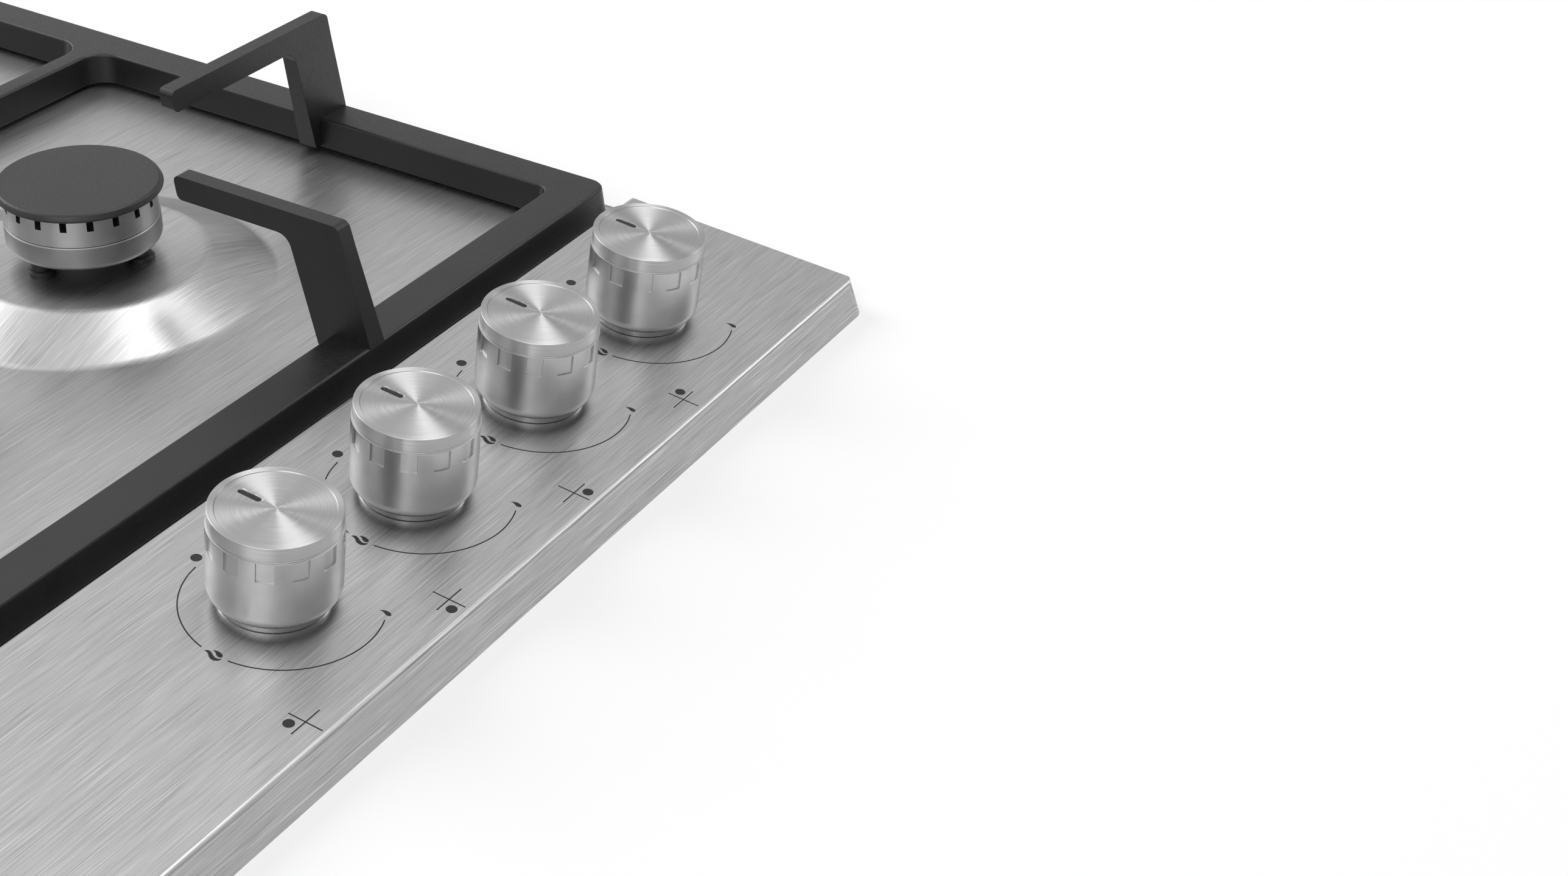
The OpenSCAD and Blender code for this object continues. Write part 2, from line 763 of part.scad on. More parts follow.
module spark_generator() {
    floor_z = box_floor + sheet_t;
    color("dimgray") translate([generator_x, generator_y, floor_z]) difference() {
        union() {
            translate([-generator_w / 2, -generator_d / 2, 0])
                cube([generator_w, generator_d, generator_h]);
            translate([-generator_w / 2 - generator_foot, -generator_d / 2, 0])
                cube([generator_w + 2 * generator_foot, generator_d, generator_foot_t]);
        }
        for (sx = [-1, 1]) translate([sx * (generator_w + generator_foot) / 2, 0, 0])
            post(screw_r, -over, generator_foot_t + over);
    }
}

// Spark leads from the generator along the floor and up to the foot of each electrode
lead_order = [1, 0, 3, 2];
function lead_end(i) = around(i, cap_rs[i] - electrode_in, electrode_turn);
function lead_route(i) =
    let (e = lead_end(i), y0 = generator_y - generator_d / 2)
    let (lane = y0 - lead_side_step * (i % 3 == 0 ? 2 : 1))
    let (x0 = generator_x + lead_side_step * (lead_order[i] - 1.5))
    [[x0, y0, lead_z], [x0, lane, lead_z], [e[0], lane, lead_z], [e[0], e[1], lead_z],
        [e[0], e[1], pin_bottom]];

module ignition_leads() {
    color("black") for (i = [0 : 3]) run(lead_route(i), lead_r);
}

module terminal_box() {
    floor_z = box_floor + sheet_t;
    y1 = box_d / 2 - sheet_t;
    color("dimgray") translate([terminal_x, y1, 0]) difference() {
        union() {
            translate([-terminal_w / 2, -terminal_d, floor_z]) cube([terminal_w, terminal_d, terminal_h]);
            translate([0, 0, gland_z]) rotate([-90, 0, 0]) post(gland_r, -terminal_wall, gland_l);
        }
        translate([terminal_wall - terminal_w / 2, terminal_wall - terminal_d, floor_z + terminal_wall])
            cube([terminal_w - 2 * terminal_wall, terminal_d - 2 * terminal_wall,
                terminal_h - 2 * terminal_wall]);
        translate([0, 0, gland_z]) rotate([-90, 0, 0])
            post(gland_bore_r, -2 * terminal_wall, gland_l + over);
    }
}

// Section through the whole support between two outer edges
function outer_section(a, b) = rounded([[a - rail_spread, rail_base], [a, rail_z], [b, rail_z],
    [b + rail_spread, rail_base]], [0, rail_edge_r, rail_edge_r, 0]);

// Section through a window between two inner edges, drafted the other way and run past both faces
function window_section(a, b) =
    let (slope = tan(rail_draft), low = rail_base - over, high = rail_z + over)
    let (in_low = (rail_z - low) * slope, out_high = over * slope)
    [[a + in_low, low], [a - out_high, high], [b + out_high, high], [b - in_low, low]];

// Upright prism of a rounded rectangle between two corners
module upright(a, b, radii) {
    translate([0, 0, rail_base - over]) linear_extrude(rail_z - rail_base + 2 * over)
        polygon(rounded([a, [b[0], a[1]], b, [a[0], b[1]]], radii));
}

// Side view of a finger: u runs inwards from the rail's outer edge
function finger_outline(lean, reach) =
    rounded([[0, rail_base + foot_h], [0, rail_z], [lean, pan_z], [reach, pan_z],
        [reach - tip_slant, pan_z - arm_h],
        [lean + post_top_w, pan_z - arm_h], [post_w, rail_base + foot_h]],
        [0, 0, elbow_r / 2, finger_edge_r, finger_edge_r, elbow_r, 0]);

// Side view of the double finger that stands on the rib, with an arm to each burner
function rib_finger_outline(front_reach, back_reach) =
    let (half = rib_post_w / 2, low = rail_base + foot_h, arm = pan_z - arm_h, inner = half - end_lean / 2)
    rounded([[-half, low], [-inner, arm], [tip_slant - front_reach, arm], [-front_reach, pan_z],
        [back_reach, pan_z], [back_reach - tip_slant, arm], [inner, arm], [half, low]],
        [0, elbow_r, finger_edge_r, finger_edge_r, finger_edge_r, finger_edge_r, elbow_r, 0]);

module window(a, b, radii) {
    intersection() {
        translate([(a[0] + b[0]) / 2, 0, 0]) along_x(b[0] - a[0] + 2 * window_slack)
            polygon(window_section(a[1], b[1]));
        translate([0, (a[1] + b[1]) / 2, 0]) along_y(b[1] - a[1] + 2 * window_slack)
            polygon(window_section(a[0], b[0]));
        upright(a - [window_slack, window_slack], b + [window_slack, window_slack], radii);
    }
}

module support_frame() {
    w = grate_x1 - grate_x0;
    d = grate_y1 - grate_y0;
    x0 = grate_x0 + side_rail_w;
    x1 = grate_x1 - side_rail_w;
    foot = rail_spread + window_slack;
    difference() {
        intersection() {
            translate([grate_x0 + w / 2, 0, 0]) along_x(w + 4 * rail_spread)
                polygon(outer_section(grate_y0, grate_y1));
            translate([0, rib_y, 0]) along_y(d + 4 * rail_spread)
                polygon(outer_section(grate_x0, grate_x1));
            upright([grate_x0 - foot, grate_y0 - foot], [grate_x1 + foot, grate_y1 + foot],
                [for (k = [0 : 3]) grate_corner_r + rail_spread]);
        }
        window([x0, grate_y0 + end_rail_w], [x1, rib_y - rib_w / 2],
            [inner_corner_r, inner_corner_r, rib_corner_r, rib_corner_r]);
        window([x0, rib_y + rib_w / 2], [x1, grate_y1 - end_rail_w],
            [rib_corner_r, rib_corner_r, inner_corner_r, inner_corner_r]);
    }
}

module support_fingers(front, rear) {
    yf = burner_yf;
    yr = burner_yr;
    translate([burner_x, grate_y0, 0]) along_x(finger_t)
        polygon(finger_outline(end_lean, yf - grate_y0 - tip_rs[front]));
    translate([burner_x, grate_y1, 0]) mirror([0, 1, 0]) along_x(finger_t)
        polygon(finger_outline(end_lean, grate_y1 - yr - tip_rs[rear]));
    translate([burner_x, rib_y, 0]) along_x(finger_t)
        polygon(rib_finger_outline(rib_y - yf - tip_rs[front], yr - rib_y - tip_rs[rear]));
    for (c = [[yf, front], [yr, rear]]) {
        translate([grate_x0, c[0], 0]) along_y(finger_t)
            polygon(finger_outline(side_lean, burner_x - grate_x0 - tip_rs[c[1]]));
        translate([grate_x1, c[0], 0]) mirror([1, 0, 0]) along_y(finger_t)
            polygon(finger_outline(side_lean, grate_x1 - burner_x - tip_rs[c[1]]));
    }
}

module foot_places() {
    for (x = [grate_x0 + foot_in, grate_x1 - foot_in], y = [grate_y0 + foot_in, grate_y1 - foot_in])
        translate([x, y, 0]) children();
}

module pan_support(front, rear) {
    color("dimgray") difference() {
        union() {
            support_frame();
            support_fingers(front, rear);
        }
        foot_places() post(foot_peg_r + run_gap, rail_base - over, rail_base + foot_peg_h);
    }
}

module support_feet() {
    color("black") foot_places() {
        post(foot_pad_r, plate_z, rail_base);
        post(foot_peg_r, plate_z, rail_base + foot_peg_h);
    }
}

top_plate();
burner_box();
box_screws();
worktop_seal();
worktop_clamps();
clamp_screws();
gas_manifold();
inlet_block();
knob_collars();
seat_rings();
injector_holders();
injectors();
electrodes();
flame_probes();
gas_pipes();
ignition_switches();
spark_generator();
ignition_leads();
terminal_box();
pan_support(2, 3);  // pan_support_right
mirror([1, 0, 0]) pan_support(1, 0);  // pan_support_left
support_feet();  // support_feet_right
mirror([1, 0, 0]) support_feet();  // support_feet_left
for (i = [0 : 3]) {
    tap(i);
    push_rod(i);
    return_spring(i);
    spindle(i);
    knob(i);
    knob_cap(i);
    burner_cup(i);
    burner_head(i);
    burner_cap(i);
}
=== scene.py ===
import json
import math

import bpy
from bpy.props import FloatProperty, IntProperty, PointerProperty, StringProperty
from mathutils import Matrix, Vector


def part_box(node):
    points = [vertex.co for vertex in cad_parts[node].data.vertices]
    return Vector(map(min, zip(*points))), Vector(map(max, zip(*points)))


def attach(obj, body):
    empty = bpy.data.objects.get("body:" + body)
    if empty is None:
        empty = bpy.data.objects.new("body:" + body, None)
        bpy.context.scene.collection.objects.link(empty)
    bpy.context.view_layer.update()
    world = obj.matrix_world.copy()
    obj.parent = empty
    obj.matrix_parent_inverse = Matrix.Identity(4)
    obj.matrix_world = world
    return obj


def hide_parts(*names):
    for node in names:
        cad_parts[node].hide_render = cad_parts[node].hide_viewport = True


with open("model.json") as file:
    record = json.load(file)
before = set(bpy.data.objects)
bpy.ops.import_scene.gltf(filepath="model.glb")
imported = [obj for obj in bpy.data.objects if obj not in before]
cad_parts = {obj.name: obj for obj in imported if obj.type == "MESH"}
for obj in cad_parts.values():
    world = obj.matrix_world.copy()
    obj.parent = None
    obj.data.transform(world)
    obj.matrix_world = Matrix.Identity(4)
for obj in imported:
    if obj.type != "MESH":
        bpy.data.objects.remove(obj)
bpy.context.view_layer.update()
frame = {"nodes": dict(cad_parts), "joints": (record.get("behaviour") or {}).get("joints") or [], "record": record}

bl_info = {
    "name": "Gas Hob",
    "version": (1, 0, 0),
    "blender": (4, 5, 0),
    "location": "View3D > Sidebar > Gas Hob",
    "description": "Models and finishes a built-in gas hob around its engineering model",
    "category": "Object",
}

MM = 0.001
BURNERS = ("rear_left", "front_left", "front_right", "rear_right")
KNOBS = (1, 2, 3, 4)

# Sizes that several pieces share, in millimetres. Heights of burners and supports are over the worktop.
CAP_EDGE = 0.36
RING_FOOT = 17
CUP_FOOT = 22.5
CUP_TOP = 30.5
HEAD_TOP = 39.7
CAP_TOP = 42
RAIL_TOP = 20.2
ARM_UNDER = 48.3
REST_TOP = 56
FINGER_HALF = 3.5
KNOB_R = 17
KNOB_BODY_TOP = 24.4
KNOB_TOP = 28.4
DISH_R = 14.75
DISH_FLOOR = 28.15
POINTER_START = 5.4
POINTER_END = 10.7
PRINT_HALF = 0.03
CIRCLE_SHIFT = -2.8


# Places read from the frame

def low(node):
    """Lowest corner of a node's box, in millimetres."""
    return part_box(node)[0] / MM


def high(node):
    """Highest corner of a node's box, in millimetres."""
    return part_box(node)[1] / MM


def knob_joint(k):
    """The joint on which a knob turns."""
    return next(j for j in frame["joints"] if j["name"] == f"knob_{k}_turn")


def panel_tilt():
    """Angle of the knob panel to the worktop."""
    axis = Vector(knob_joint(1)["axis"])
    return math.atan2(-axis.y, axis.z)


def knob_place(k):
    """Matrix of a knob: origin where its axis leaves the panel, Z along the axis and Y uphill."""
    return Matrix.Translation(knob_joint(k)["pos_m"]) @ Matrix.Rotation(panel_tilt(), 4, "X")


def burner_place(name):
    """Matrix of a burner: origin on its axis, on the worktop's plane."""
    centre = (low(f"burner_cap_{name}") + high(f"burner_cap_{name}")) / 2
    return Matrix.Translation((centre.x * MM, centre.y * MM, 0))


def cap_radius(name):
    """Radius of a burner's cap, in millimetres, before its edge is rounded, which takes CAP_EDGE off it."""
    return (high(f"burner_cap_{name}").x - low(f"burner_cap_{name}").x) / 2 + CAP_EDGE


# Settings that a user would change

class HobSizes(bpy.types.PropertyGroup):
    knob_segments: IntProperty(name="Knob segments", default=72, min=36,
                               description="Faces round a knob, six for each pocket pitch")
    pocket_depth: FloatProperty(name="Pocket depth", description="Depth of the knob's finger pockets",
                                default=0.0005, unit="LENGTH")
    iron_round: FloatProperty(name="Casting edge", description="Radius on the edges of the pan supports",
                              default=0.0009, unit="LENGTH")
    steel_round: FloatProperty(name="Pressed edge", description="Radius on the edges of the pressed top",
                               default=0.0005, unit="LENGTH")
    front_lean: FloatProperty(name="Front lean", default=0.004, unit="LENGTH",
                              description="How far the top's front edge leans back to the panel")
    spring_room: FloatProperty(name="Room over the springs", default=0.0026, unit="LENGTH",
                               description="How far each spring stands clear below its spindle's shoulder, "
                                           "which comes down when the knob is pushed")
    print_line: FloatProperty(name="Printed line", description="Width of the printed arcs and crosses",
                              default=0.00036, unit="LENGTH")
    cut_out_w: FloatProperty(name="Cut-out width", description="Width of the cut-out in the worktop",
                             default=0.56, unit="LENGTH")
    cut_out_d: FloatProperty(name="Cut-out depth", description="Depth of the cut-out in the worktop",
                             default=0.49, unit="LENGTH")


class HobColours(bpy.types.PropertyGroup):
    steel_dark: StringProperty(name="Steel, dark grain", description="sRGB hex", default="#a6a6a6")
    steel_light: StringProperty(name="Steel, light grain", description="sRGB hex", default="#cecece")
    steel_mid: StringProperty(name="Steel, broad bands", description="sRGB hex", default="#bababa")
    steel_scratch: StringProperty(name="Steel, bright hairs", description="sRGB hex", default="#e0e0e0")
    steel_shadow: StringProperty(name="Steel, dark hairs", description="sRGB hex", default="#8c8c8c")
    iron_dark: StringProperty(name="Enamelled iron, dark", description="sRGB hex", default="#131313")
    iron_light: StringProperty(name="Enamelled iron, light", description="sRGB hex", default="#1a1a1a")
    cap_dark: StringProperty(name="Burner cap, dark", description="sRGB hex", default="#1d1d1d")
    cap_light: StringProperty(name="Burner cap, light", description="sRGB hex", default="#232323")
    knob_dark: StringProperty(name="Knob, dark", description="sRGB hex", default="#b2b2b2")
    knob_light: StringProperty(name="Knob, light", description="sRGB hex", default="#c8c8c8")
    head_dark: StringProperty(name="Burner head, dark", description="sRGB hex", default="#acacac")
    head_light: StringProperty(name="Burner head, light", description="sRGB hex", default="#c4c4c4")
    cup_dark: StringProperty(name="Burner cup, dark", description="sRGB hex", default="#8e8e8e")
    cup_light: StringProperty(name="Burner cup, light", description="sRGB hex", default="#a2a2a2")
    collar_dark: StringProperty(name="Knob collar, dark", description="sRGB hex", default="#8e8e8e")
    collar_light: StringProperty(name="Knob collar, light", description="sRGB hex", default="#a2a2a2")
    print_black: StringProperty(name="Printed marks", description="sRGB hex", default="#101011")
    worktop: StringProperty(name="Worktop", description="sRGB hex", default="#ffffff")


def sizes():
    return bpy.context.scene.hob_sizes


def colours():
    return bpy.context.scene.hob_colours


# Steps of modelling by hand

def pick(*objects):
    """Selects only these objects, the last one active, in object mode."""
    if bpy.context.object and bpy.context.object.mode != "OBJECT":
        bpy.ops.object.mode_set(mode="OBJECT")
    bpy.ops.object.select_all(action="DESELECT")
    for ob in objects:
        ob.select_set(True)
    if objects:
        bpy.context.view_layer.objects.active = objects[-1]


def named(name):
    """Names the active object and its mesh."""
    ob = bpy.context.object
    ob.name = name
    ob.data.name = name
    return ob


def edit_with(ob, mode, test):
    """Edit mode with only the vertices or faces selected that pass test(place in millimetres)."""
    pick(ob)
    bpy.ops.object.mode_set(mode="EDIT")
    bpy.ops.mesh.select_mode(type=mode)
    bpy.ops.mesh.select_all(action="DESELECT")
    bpy.ops.object.mode_set(mode="OBJECT")
    if mode == "VERT":
        for v in ob.data.vertices:
            v.select = bool(test(v.co / MM))
    else:
        for f in ob.data.polygons:
            f.select = bool(test(f.center / MM))
    bpy.ops.object.mode_set(mode="EDIT")


def tidy_mesh(ob, distance=0.002):
    """Merges doubles and turns every face outwards."""
    pick(ob)
    bpy.ops.object.mode_set(mode="EDIT")
    bpy.ops.mesh.select_all(action="SELECT")
    bpy.ops.mesh.remove_doubles(threshold=distance * MM)
    bpy.ops.mesh.normals_make_consistent(inside=False)
    bpy.ops.object.mode_set(mode="OBJECT")
    return ob


def turned(name, profile, segments=96, phase=0.0):
    """Turns a profile of (radius, height) points round Z; a radius of 0 at an end closes it on the axis."""
    rings = [ring for ring in profile if ring[0] > 0]
    pick()
    bpy.ops.mesh.primitive_circle_add(vertices=segments, radius=rings[0][0] * MM,
                                      rotation=(0, 0, math.radians(phase)))
    ob = named(name)
    bpy.ops.object.transform_apply(rotation=True)
    bpy.ops.object.mode_set(mode="EDIT")
    bpy.ops.mesh.select_mode(type="VERT")
    bpy.ops.mesh.select_all(action="SELECT")
    bpy.ops.transform.translate(value=(0, 0, rings[0][1] * MM))
    if profile[0][0] == 0:
        bpy.ops.mesh.edge_face_add()
        bpy.ops.mesh.select_all(action="SELECT")
    for (r0, z0), (r1, z1) in zip(rings, rings[1:]):
        bpy.ops.mesh.extrude_region_move(TRANSFORM_OT_translate={"value": (0, 0, (z1 - z0) * MM)})
        bpy.ops.transform.resize(value=(r1 / r0, r1 / r0, 1), center_override=(0, 0, z1 * MM))
    if profile[0][0] > 0 and profile[-1][0] == 0:
        bpy.ops.mesh.edge_face_add()
    bpy.ops.object.mode_set(mode="OBJECT")
    return tidy_mesh(ob)


def outline_sheet(name, points):
    """A flat face in XY with this outline, in millimetres."""
    pick()
    bpy.ops.mesh.primitive_circle_add(vertices=len(points), radius=MM, fill_type="NGON")
    ob = named(name)
    for v, p in zip(ob.data.vertices, points):
        v.co = (p[0] * MM, p[1] * MM, 0)
    return ob


def slab(name, points, z0, z1):
    """A slab with this outline between two heights, in millimetres."""
    ob = outline_sheet(name, points)
    pick(ob)
    bpy.ops.object.mode_set(mode="EDIT")
    bpy.ops.mesh.select_all(action="SELECT")
    bpy.ops.transform.translate(value=(0, 0, z0 * MM))
    bpy.ops.mesh.extrude_region_move(TRANSFORM_OT_translate={"value": (0, 0, (z1 - z0) * MM)})
    bpy.ops.object.mode_set(mode="OBJECT")
    return tidy_mesh(ob)


def place(ob, matrix):
    """Moves a piece there and writes the place into its mesh."""
    pick(ob)
    ob.matrix_world = matrix @ ob.matrix_world
    bpy.ops.object.transform_apply(location=True, rotation=True, scale=True)
    return ob


def finish_with(ob, kind, **settings):
    """Adds a modifier with its settings and applies it."""
    pick(ob)
    mod = ob.modifiers.new(kind.lower(), kind)
    for key, value in settings.items():
        setattr(mod, key, value)
    bpy.ops.object.modifier_apply(modifier=mod.name)
    return ob


def round_edges(ob, width, angle=32, segments=3):
    """Rounds the edges that turn by more than angle, width in metres."""
    return finish_with(ob, "BEVEL", width=width, segments=segments, limit_method="ANGLE",
                       angle_limit=math.radians(angle), use_clamp_overlap=True)


def combine(ob, others, operation):
    """Joins the other solids to one, or cuts them out of it."""
    for other in others:
        finish_with(ob, "BOOLEAN", operation=operation, solver="EXACT", object=other)
        bpy.data.objects.remove(other)
    return ob


def join(name, parts):
    """Joins pieces to one object."""
    pick(*parts)
    bpy.ops.object.join()
    return named(name)


def copy_of(ob, name):
    """A copy of an object with a mesh of its own."""
    twin = ob.copy()
    twin.data = ob.data.copy()
    twin.name = name
    twin.data.name = name
    bpy.context.scene.collection.objects.link(twin)
    return twin


def cad_copy(node, name):
    """A merged copy of an engineering solid's mesh, to be finished further."""
    twin = copy_of(frame["nodes"][node], name)
    twin.parent = None
    twin.hide_render = False
    twin.hide_viewport = False
    for key in [key for key in twin.keys() if key.startswith("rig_")]:
        del twin[key]
    tidy_mesh(twin)
    pick(twin)
    bpy.ops.object.mode_set(mode="EDIT")
    bpy.ops.mesh.select_all(action="SELECT")
    bpy.ops.mesh.dissolve_limited(angle_limit=math.radians(0.4))
    bpy.ops.object.mode_set(mode="OBJECT")
    return twin


def dress(ob, material, body, nodes=(), smooth=35):
    """Gives a finished piece its shading, its material and its body, and hides the nodes that it stands for."""
    pick(ob)
    bpy.ops.object.shade_smooth_by_angle(angle=math.radians(smooth))
    finish_with(ob, "WEIGHTED_NORMAL", keep_sharp=True, weight=80)
    ob.data.materials.clear()
    ob.data.materials.append(material)
    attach(ob, body)
    if nodes:
        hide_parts(*nodes)
    return ob


def arc(centre, radius, start, end, steps):
    """Points on an arc, angles in degrees."""
    turns = [math.radians(start + (end - start) * k / steps) for k in range(steps + 1)]
    return [(centre[0] + radius * math.cos(a), centre[1] + radius * math.sin(a)) for a in turns]


def rounded(points, radii, steps=6):
    """An outline whose corners are rounded, each by its own radius."""
    out = []
    for i, (point, r) in enumerate(zip(points, radii)):
        if r <= 0:
            out.append(point)
            continue
        b = Vector(point)
        u = (Vector(points[i - 1]) - b).normalized()
        w = (Vector(points[(i + 1) % len(points)]) - b).normalized()
        half = u.angle(w) / 2
        centre = b + (u + w).normalized() * r / math.sin(half)
        s = b + u * r / math.tan(half) - centre
        e = b + w * r / math.tan(half) - centre
        start = math.degrees(math.atan2(s.y, s.x))
        turn = (math.degrees(math.atan2(e.y, e.x)) - start + 180) % 360 - 180
        out += arc(centre, r, start, start + turn, steps)
    return out


# Materials

def linear(code):
    """sRGB hex to a linear colour."""
    parts = [int(code[i:i + 2], 16) / 255 for i in (1, 3, 5)]
    return [c / 12.92 if c <= 0.04045 else ((c + 0.055) / 1.055) ** 2.4 for c in parts] + [1]


def add_node(tree, kind, inputs=None, **settings):
    """Adds a node with its settings; each input is a value, or a socket to link from."""
    node = tree.nodes.new(kind)
    for key, value in settings.items():
        setattr(node, key, value)
    for key, value in (inputs or {}).items():
        if isinstance(value, bpy.types.NodeSocket):
            tree.links.new(value, node.inputs[key])
        else:
            node.inputs[key].default_value = value
    return node


class Finish:
    """A material being made: its Principled shader, its Object coordinates and small steps on them."""

    def __init__(self, name, **shader):
        self.material = bpy.data.materials.new(name)
        self.material.use_nodes = True
        self.tree = self.material.node_tree
        self.shader = self.tree.nodes["Principled BSDF"]
        for key, value in shader.items():
            self.shader.inputs[key.replace("_", " ")].default_value = value
        self.coords = add_node(self.tree, "ShaderNodeTexCoord").outputs["Object"]

    def grain(self, size, detail=2.0):
        """Noise with blobs of size (x, y, z) millimetres, as a value from 0 to 1."""
        mapping = add_node(self.tree, "ShaderNodeMapping",
                           {"Vector": self.coords, "Scale": [1 / (s * MM) for s in size]})
        noise = add_node(self.tree, "ShaderNodeTexNoise",
                         {"Vector": mapping.outputs["Vector"], "Scale": 1.0, "Detail": detail,
                          "Roughness": 0.55})
        return noise.outputs["Fac"]

    def spread(self, value, from_low, from_high, to_low, to_high):
        """Maps a value from one range to another."""
        node = add_node(self.tree, "ShaderNodeMapRange",
                        {"Value": value, "From Min": from_low, "From Max": from_high, "To Min": to_low,
                         "To Max": to_high})
        return node.outputs["Result"]

    def mix(self, factor, first, second):
        """Blends two colours by a value."""
        node = add_node(self.tree, "ShaderNodeMix", {0: factor, 6: first, 7: second}, data_type="RGBA")
        return node.outputs[2]

    def link(self, **sockets):
        """Links values to the shader's sockets of those names."""
        for key, value in sockets.items():
            self.tree.links.new(value, self.shader.inputs[key.replace("_", " ")])

    def relief(self, height, depth):
        """Raises the surface by height times depth, in millimetres."""
        node = add_node(self.tree, "ShaderNodeBump",
                        {"Height": height, "Distance": depth * MM, "Strength": 1.0})
        self.link(Normal=node.outputs["Normal"])


def brushed_steel():
    """Stainless sheet brushed along its width before pressing: long hair lines, light and dark, that blur
    what it reflects. The hairs are drawn 0.15 to 0.2 mm wide, wider than real ones, so that they show."""
    c = colours()
    f = Finish("brushed stainless steel", Metallic=1.0, Roughness=0.36)
    hair = f.grain((18, 0.15, 9), 3.0)
    band = f.grain((80, 1.8, 40), 2.0)
    scratch = f.grain((26, 0.19, 13), 1.0)
    base = f.mix(f.spread(hair, 0.3, 0.7, 0, 1), linear(c.steel_dark), linear(c.steel_light))
    base = f.mix(f.spread(band, 0.35, 0.65, 0, 0.5), base, linear(c.steel_mid))
    base = f.mix(f.spread(scratch, 0.62, 0.72, 0, 0.75), base, linear(c.steel_scratch))
    base = f.mix(f.spread(scratch, 0.27, 0.37, 0.75, 0), base, linear(c.steel_shadow))
    f.link(Base_Color=base, Roughness=f.spread(hair, 0.25, 0.75, 0.3, 0.44))
    f.relief(hair, 0.008)
    return f.material


def enamelled_iron(name, dark, light, rough):
    """Cast iron under matt enamel: an even dark face with a faint orange peel in its gloss."""
    f = Finish(name, Roughness=rough)
    peel = f.grain((1.2, 1.2, 1.2))
    cloud = f.grain((30, 30, 30))
    base = f.mix(f.spread(cloud, 0.35, 0.65, 0, 1), linear(dark), linear(light))
    f.link(Base_Color=base, Roughness=f.spread(peel, 0.3, 0.7, rough - 0.06, rough + 0.06))
    f.relief(peel, 0.012)
    return f.material


def satin_aluminium(name, dark, light, rough, blob=0.3, depth=0.004):
    """Aluminium blasted, tumbled or cast to a satin face: a fine even grain that softens reflections."""
    f = Finish(name, Metallic=1.0, Roughness=rough)
    fine = f.grain((blob, blob, blob), 3.0)
    cloud = f.grain((14, 14, 14))
    base = f.mix(f.spread(cloud, 0.3, 0.7, 0, 1), linear(dark), linear(light))
    f.link(Base_Color=base, Roughness=f.spread(fine, 0.3, 0.7, rough - 0.05, rough + 0.05))
    f.relief(fine, depth)
    return f.material


def spun_aluminium(name, dark, light):
    """Aluminium faced off on a lathe: fine rings round the axis, so light fans out in wedges from the
    middle. The map on the piece holds the radius in U and the turn in V. The shine is drawn out along U."""
    f = Finish(name, Metallic=1.0, Roughness=0.36, Anisotropic=0.95)
    polar = add_node(f.tree, "ShaderNodeUVMap", uv_map="turn").outputs["UV"]
    rings = add_node(f.tree, "ShaderNodeMapping", {"Vector": polar, "Scale": (90.0, 6.0, 1.0)})
    line = add_node(f.tree, "ShaderNodeTexNoise",
                    {"Vector": rings.outputs["Vector"], "Scale": 1.0, "Detail": 2.0})
    base = f.mix(f.spread(line.outputs["Fac"], 0.3, 0.7, 0, 1), linear(dark), linear(light))
    tangent = add_node(f.tree, "ShaderNodeTangent", direction_type="UV_MAP", uv_map="turn")
    f.link(Base_Color=base, Tangent=tangent.outputs["Tangent"])
    f.relief(line.outputs["Fac"], 0.0006)
    return f.material


def plain_finish(name, code, metallic=0.0, rough=0.5, blob=0.4, depth=0.008):
    """Moulded, plated, printed or machined face with a faint grain in its gloss and tone."""
    f = Finish(name, Metallic=metallic, Roughness=rough)
    fine = f.grain((blob, blob, blob))
    cloud = f.grain((20, 20, 20), 1.0)
    tone = linear(code)
    shade = [v * 0.88 for v in tone[:3]] + [1]
    f.link(Base_Color=f.mix(f.spread(cloud, 0.3, 0.7, 0, 1), shade, tone),
           Roughness=f.spread(fine, 0.3, 0.7, rough - 0.05, rough + 0.05))
    f.relief(fine, depth)
    return f.material


# Shapes

def polar_map(ob, centre_z):
    """Writes each face corner's distance from the axis and its turn round Z to the map named turn."""
    layer = ob.data.uv_layers.new(name="turn")
    for face in ob.data.polygons:
        middle = math.atan2(face.center.y, face.center.x)
        for index in face.loop_indices:
            co = ob.data.vertices[ob.data.loops[index].vertex_index].co
            r = math.hypot(co.x, co.y)
            a = middle if r < 1e-6 else math.atan2(co.y, co.x)
            a = middle + (a - middle + math.pi) % (2 * math.pi) - math.pi
            layer.data[index].uv = (r * 50 + (centre_z * MM - co.z) * 50, a / (2 * math.pi) + 1)


def model_knob(segments, pocket_depth):
    """A knob's body in its own place: hub, skirt, twelve pockets and the groove under its cap."""
    shaft_r, hub_r, room_r = 3.05, 5.4, 14.6
    inside = [(0, 17.05), (shaft_r, 17.05), (shaft_r, 4), (hub_r, 4), (hub_r, 21.4), (room_r, 21.4),
              (room_r, 2.8)]
    skirt = [(15.5, 2.8)] + arc((12, 6.4), 5, -45, 0, 10) + [(KNOB_R, 18.1)]
    groove = [(KNOB_R, 23.8), (KNOB_R, 24.1), (16.7, 24.1), (16.7, KNOB_BODY_TOP), (0, KNOB_BODY_TOP)]
    ob = turned("knob", inside + skirt + groove, segments, 180 / segments)
    pockets = 12
    pitch = 2 * math.pi / pockets

    def in_pocket(p):
        near = (math.atan2(p.y, p.x) + pitch / 2) % pitch - pitch / 2
        return 18.2 < p.z < 23.7 and math.hypot(p.x, p.y) > 16 and abs(near) < pitch * 0.24

    edit_with(ob, "FACE", in_pocket)
    bpy.ops.mesh.extrude_region_shrink_fatten(TRANSFORM_OT_shrink_fatten={"value": -pocket_depth})
    bpy.ops.object.mode_set(mode="OBJECT")
    return round_edges(ob, 0.00014, 40, 2)


def pointer_outline(width):
    """Outline of the pointer slot, with round ends."""
    return arc((0, POINTER_END), width / 2, 0, 180, 10) + arc((0, POINTER_START), width / 2, 180, 360, 10)


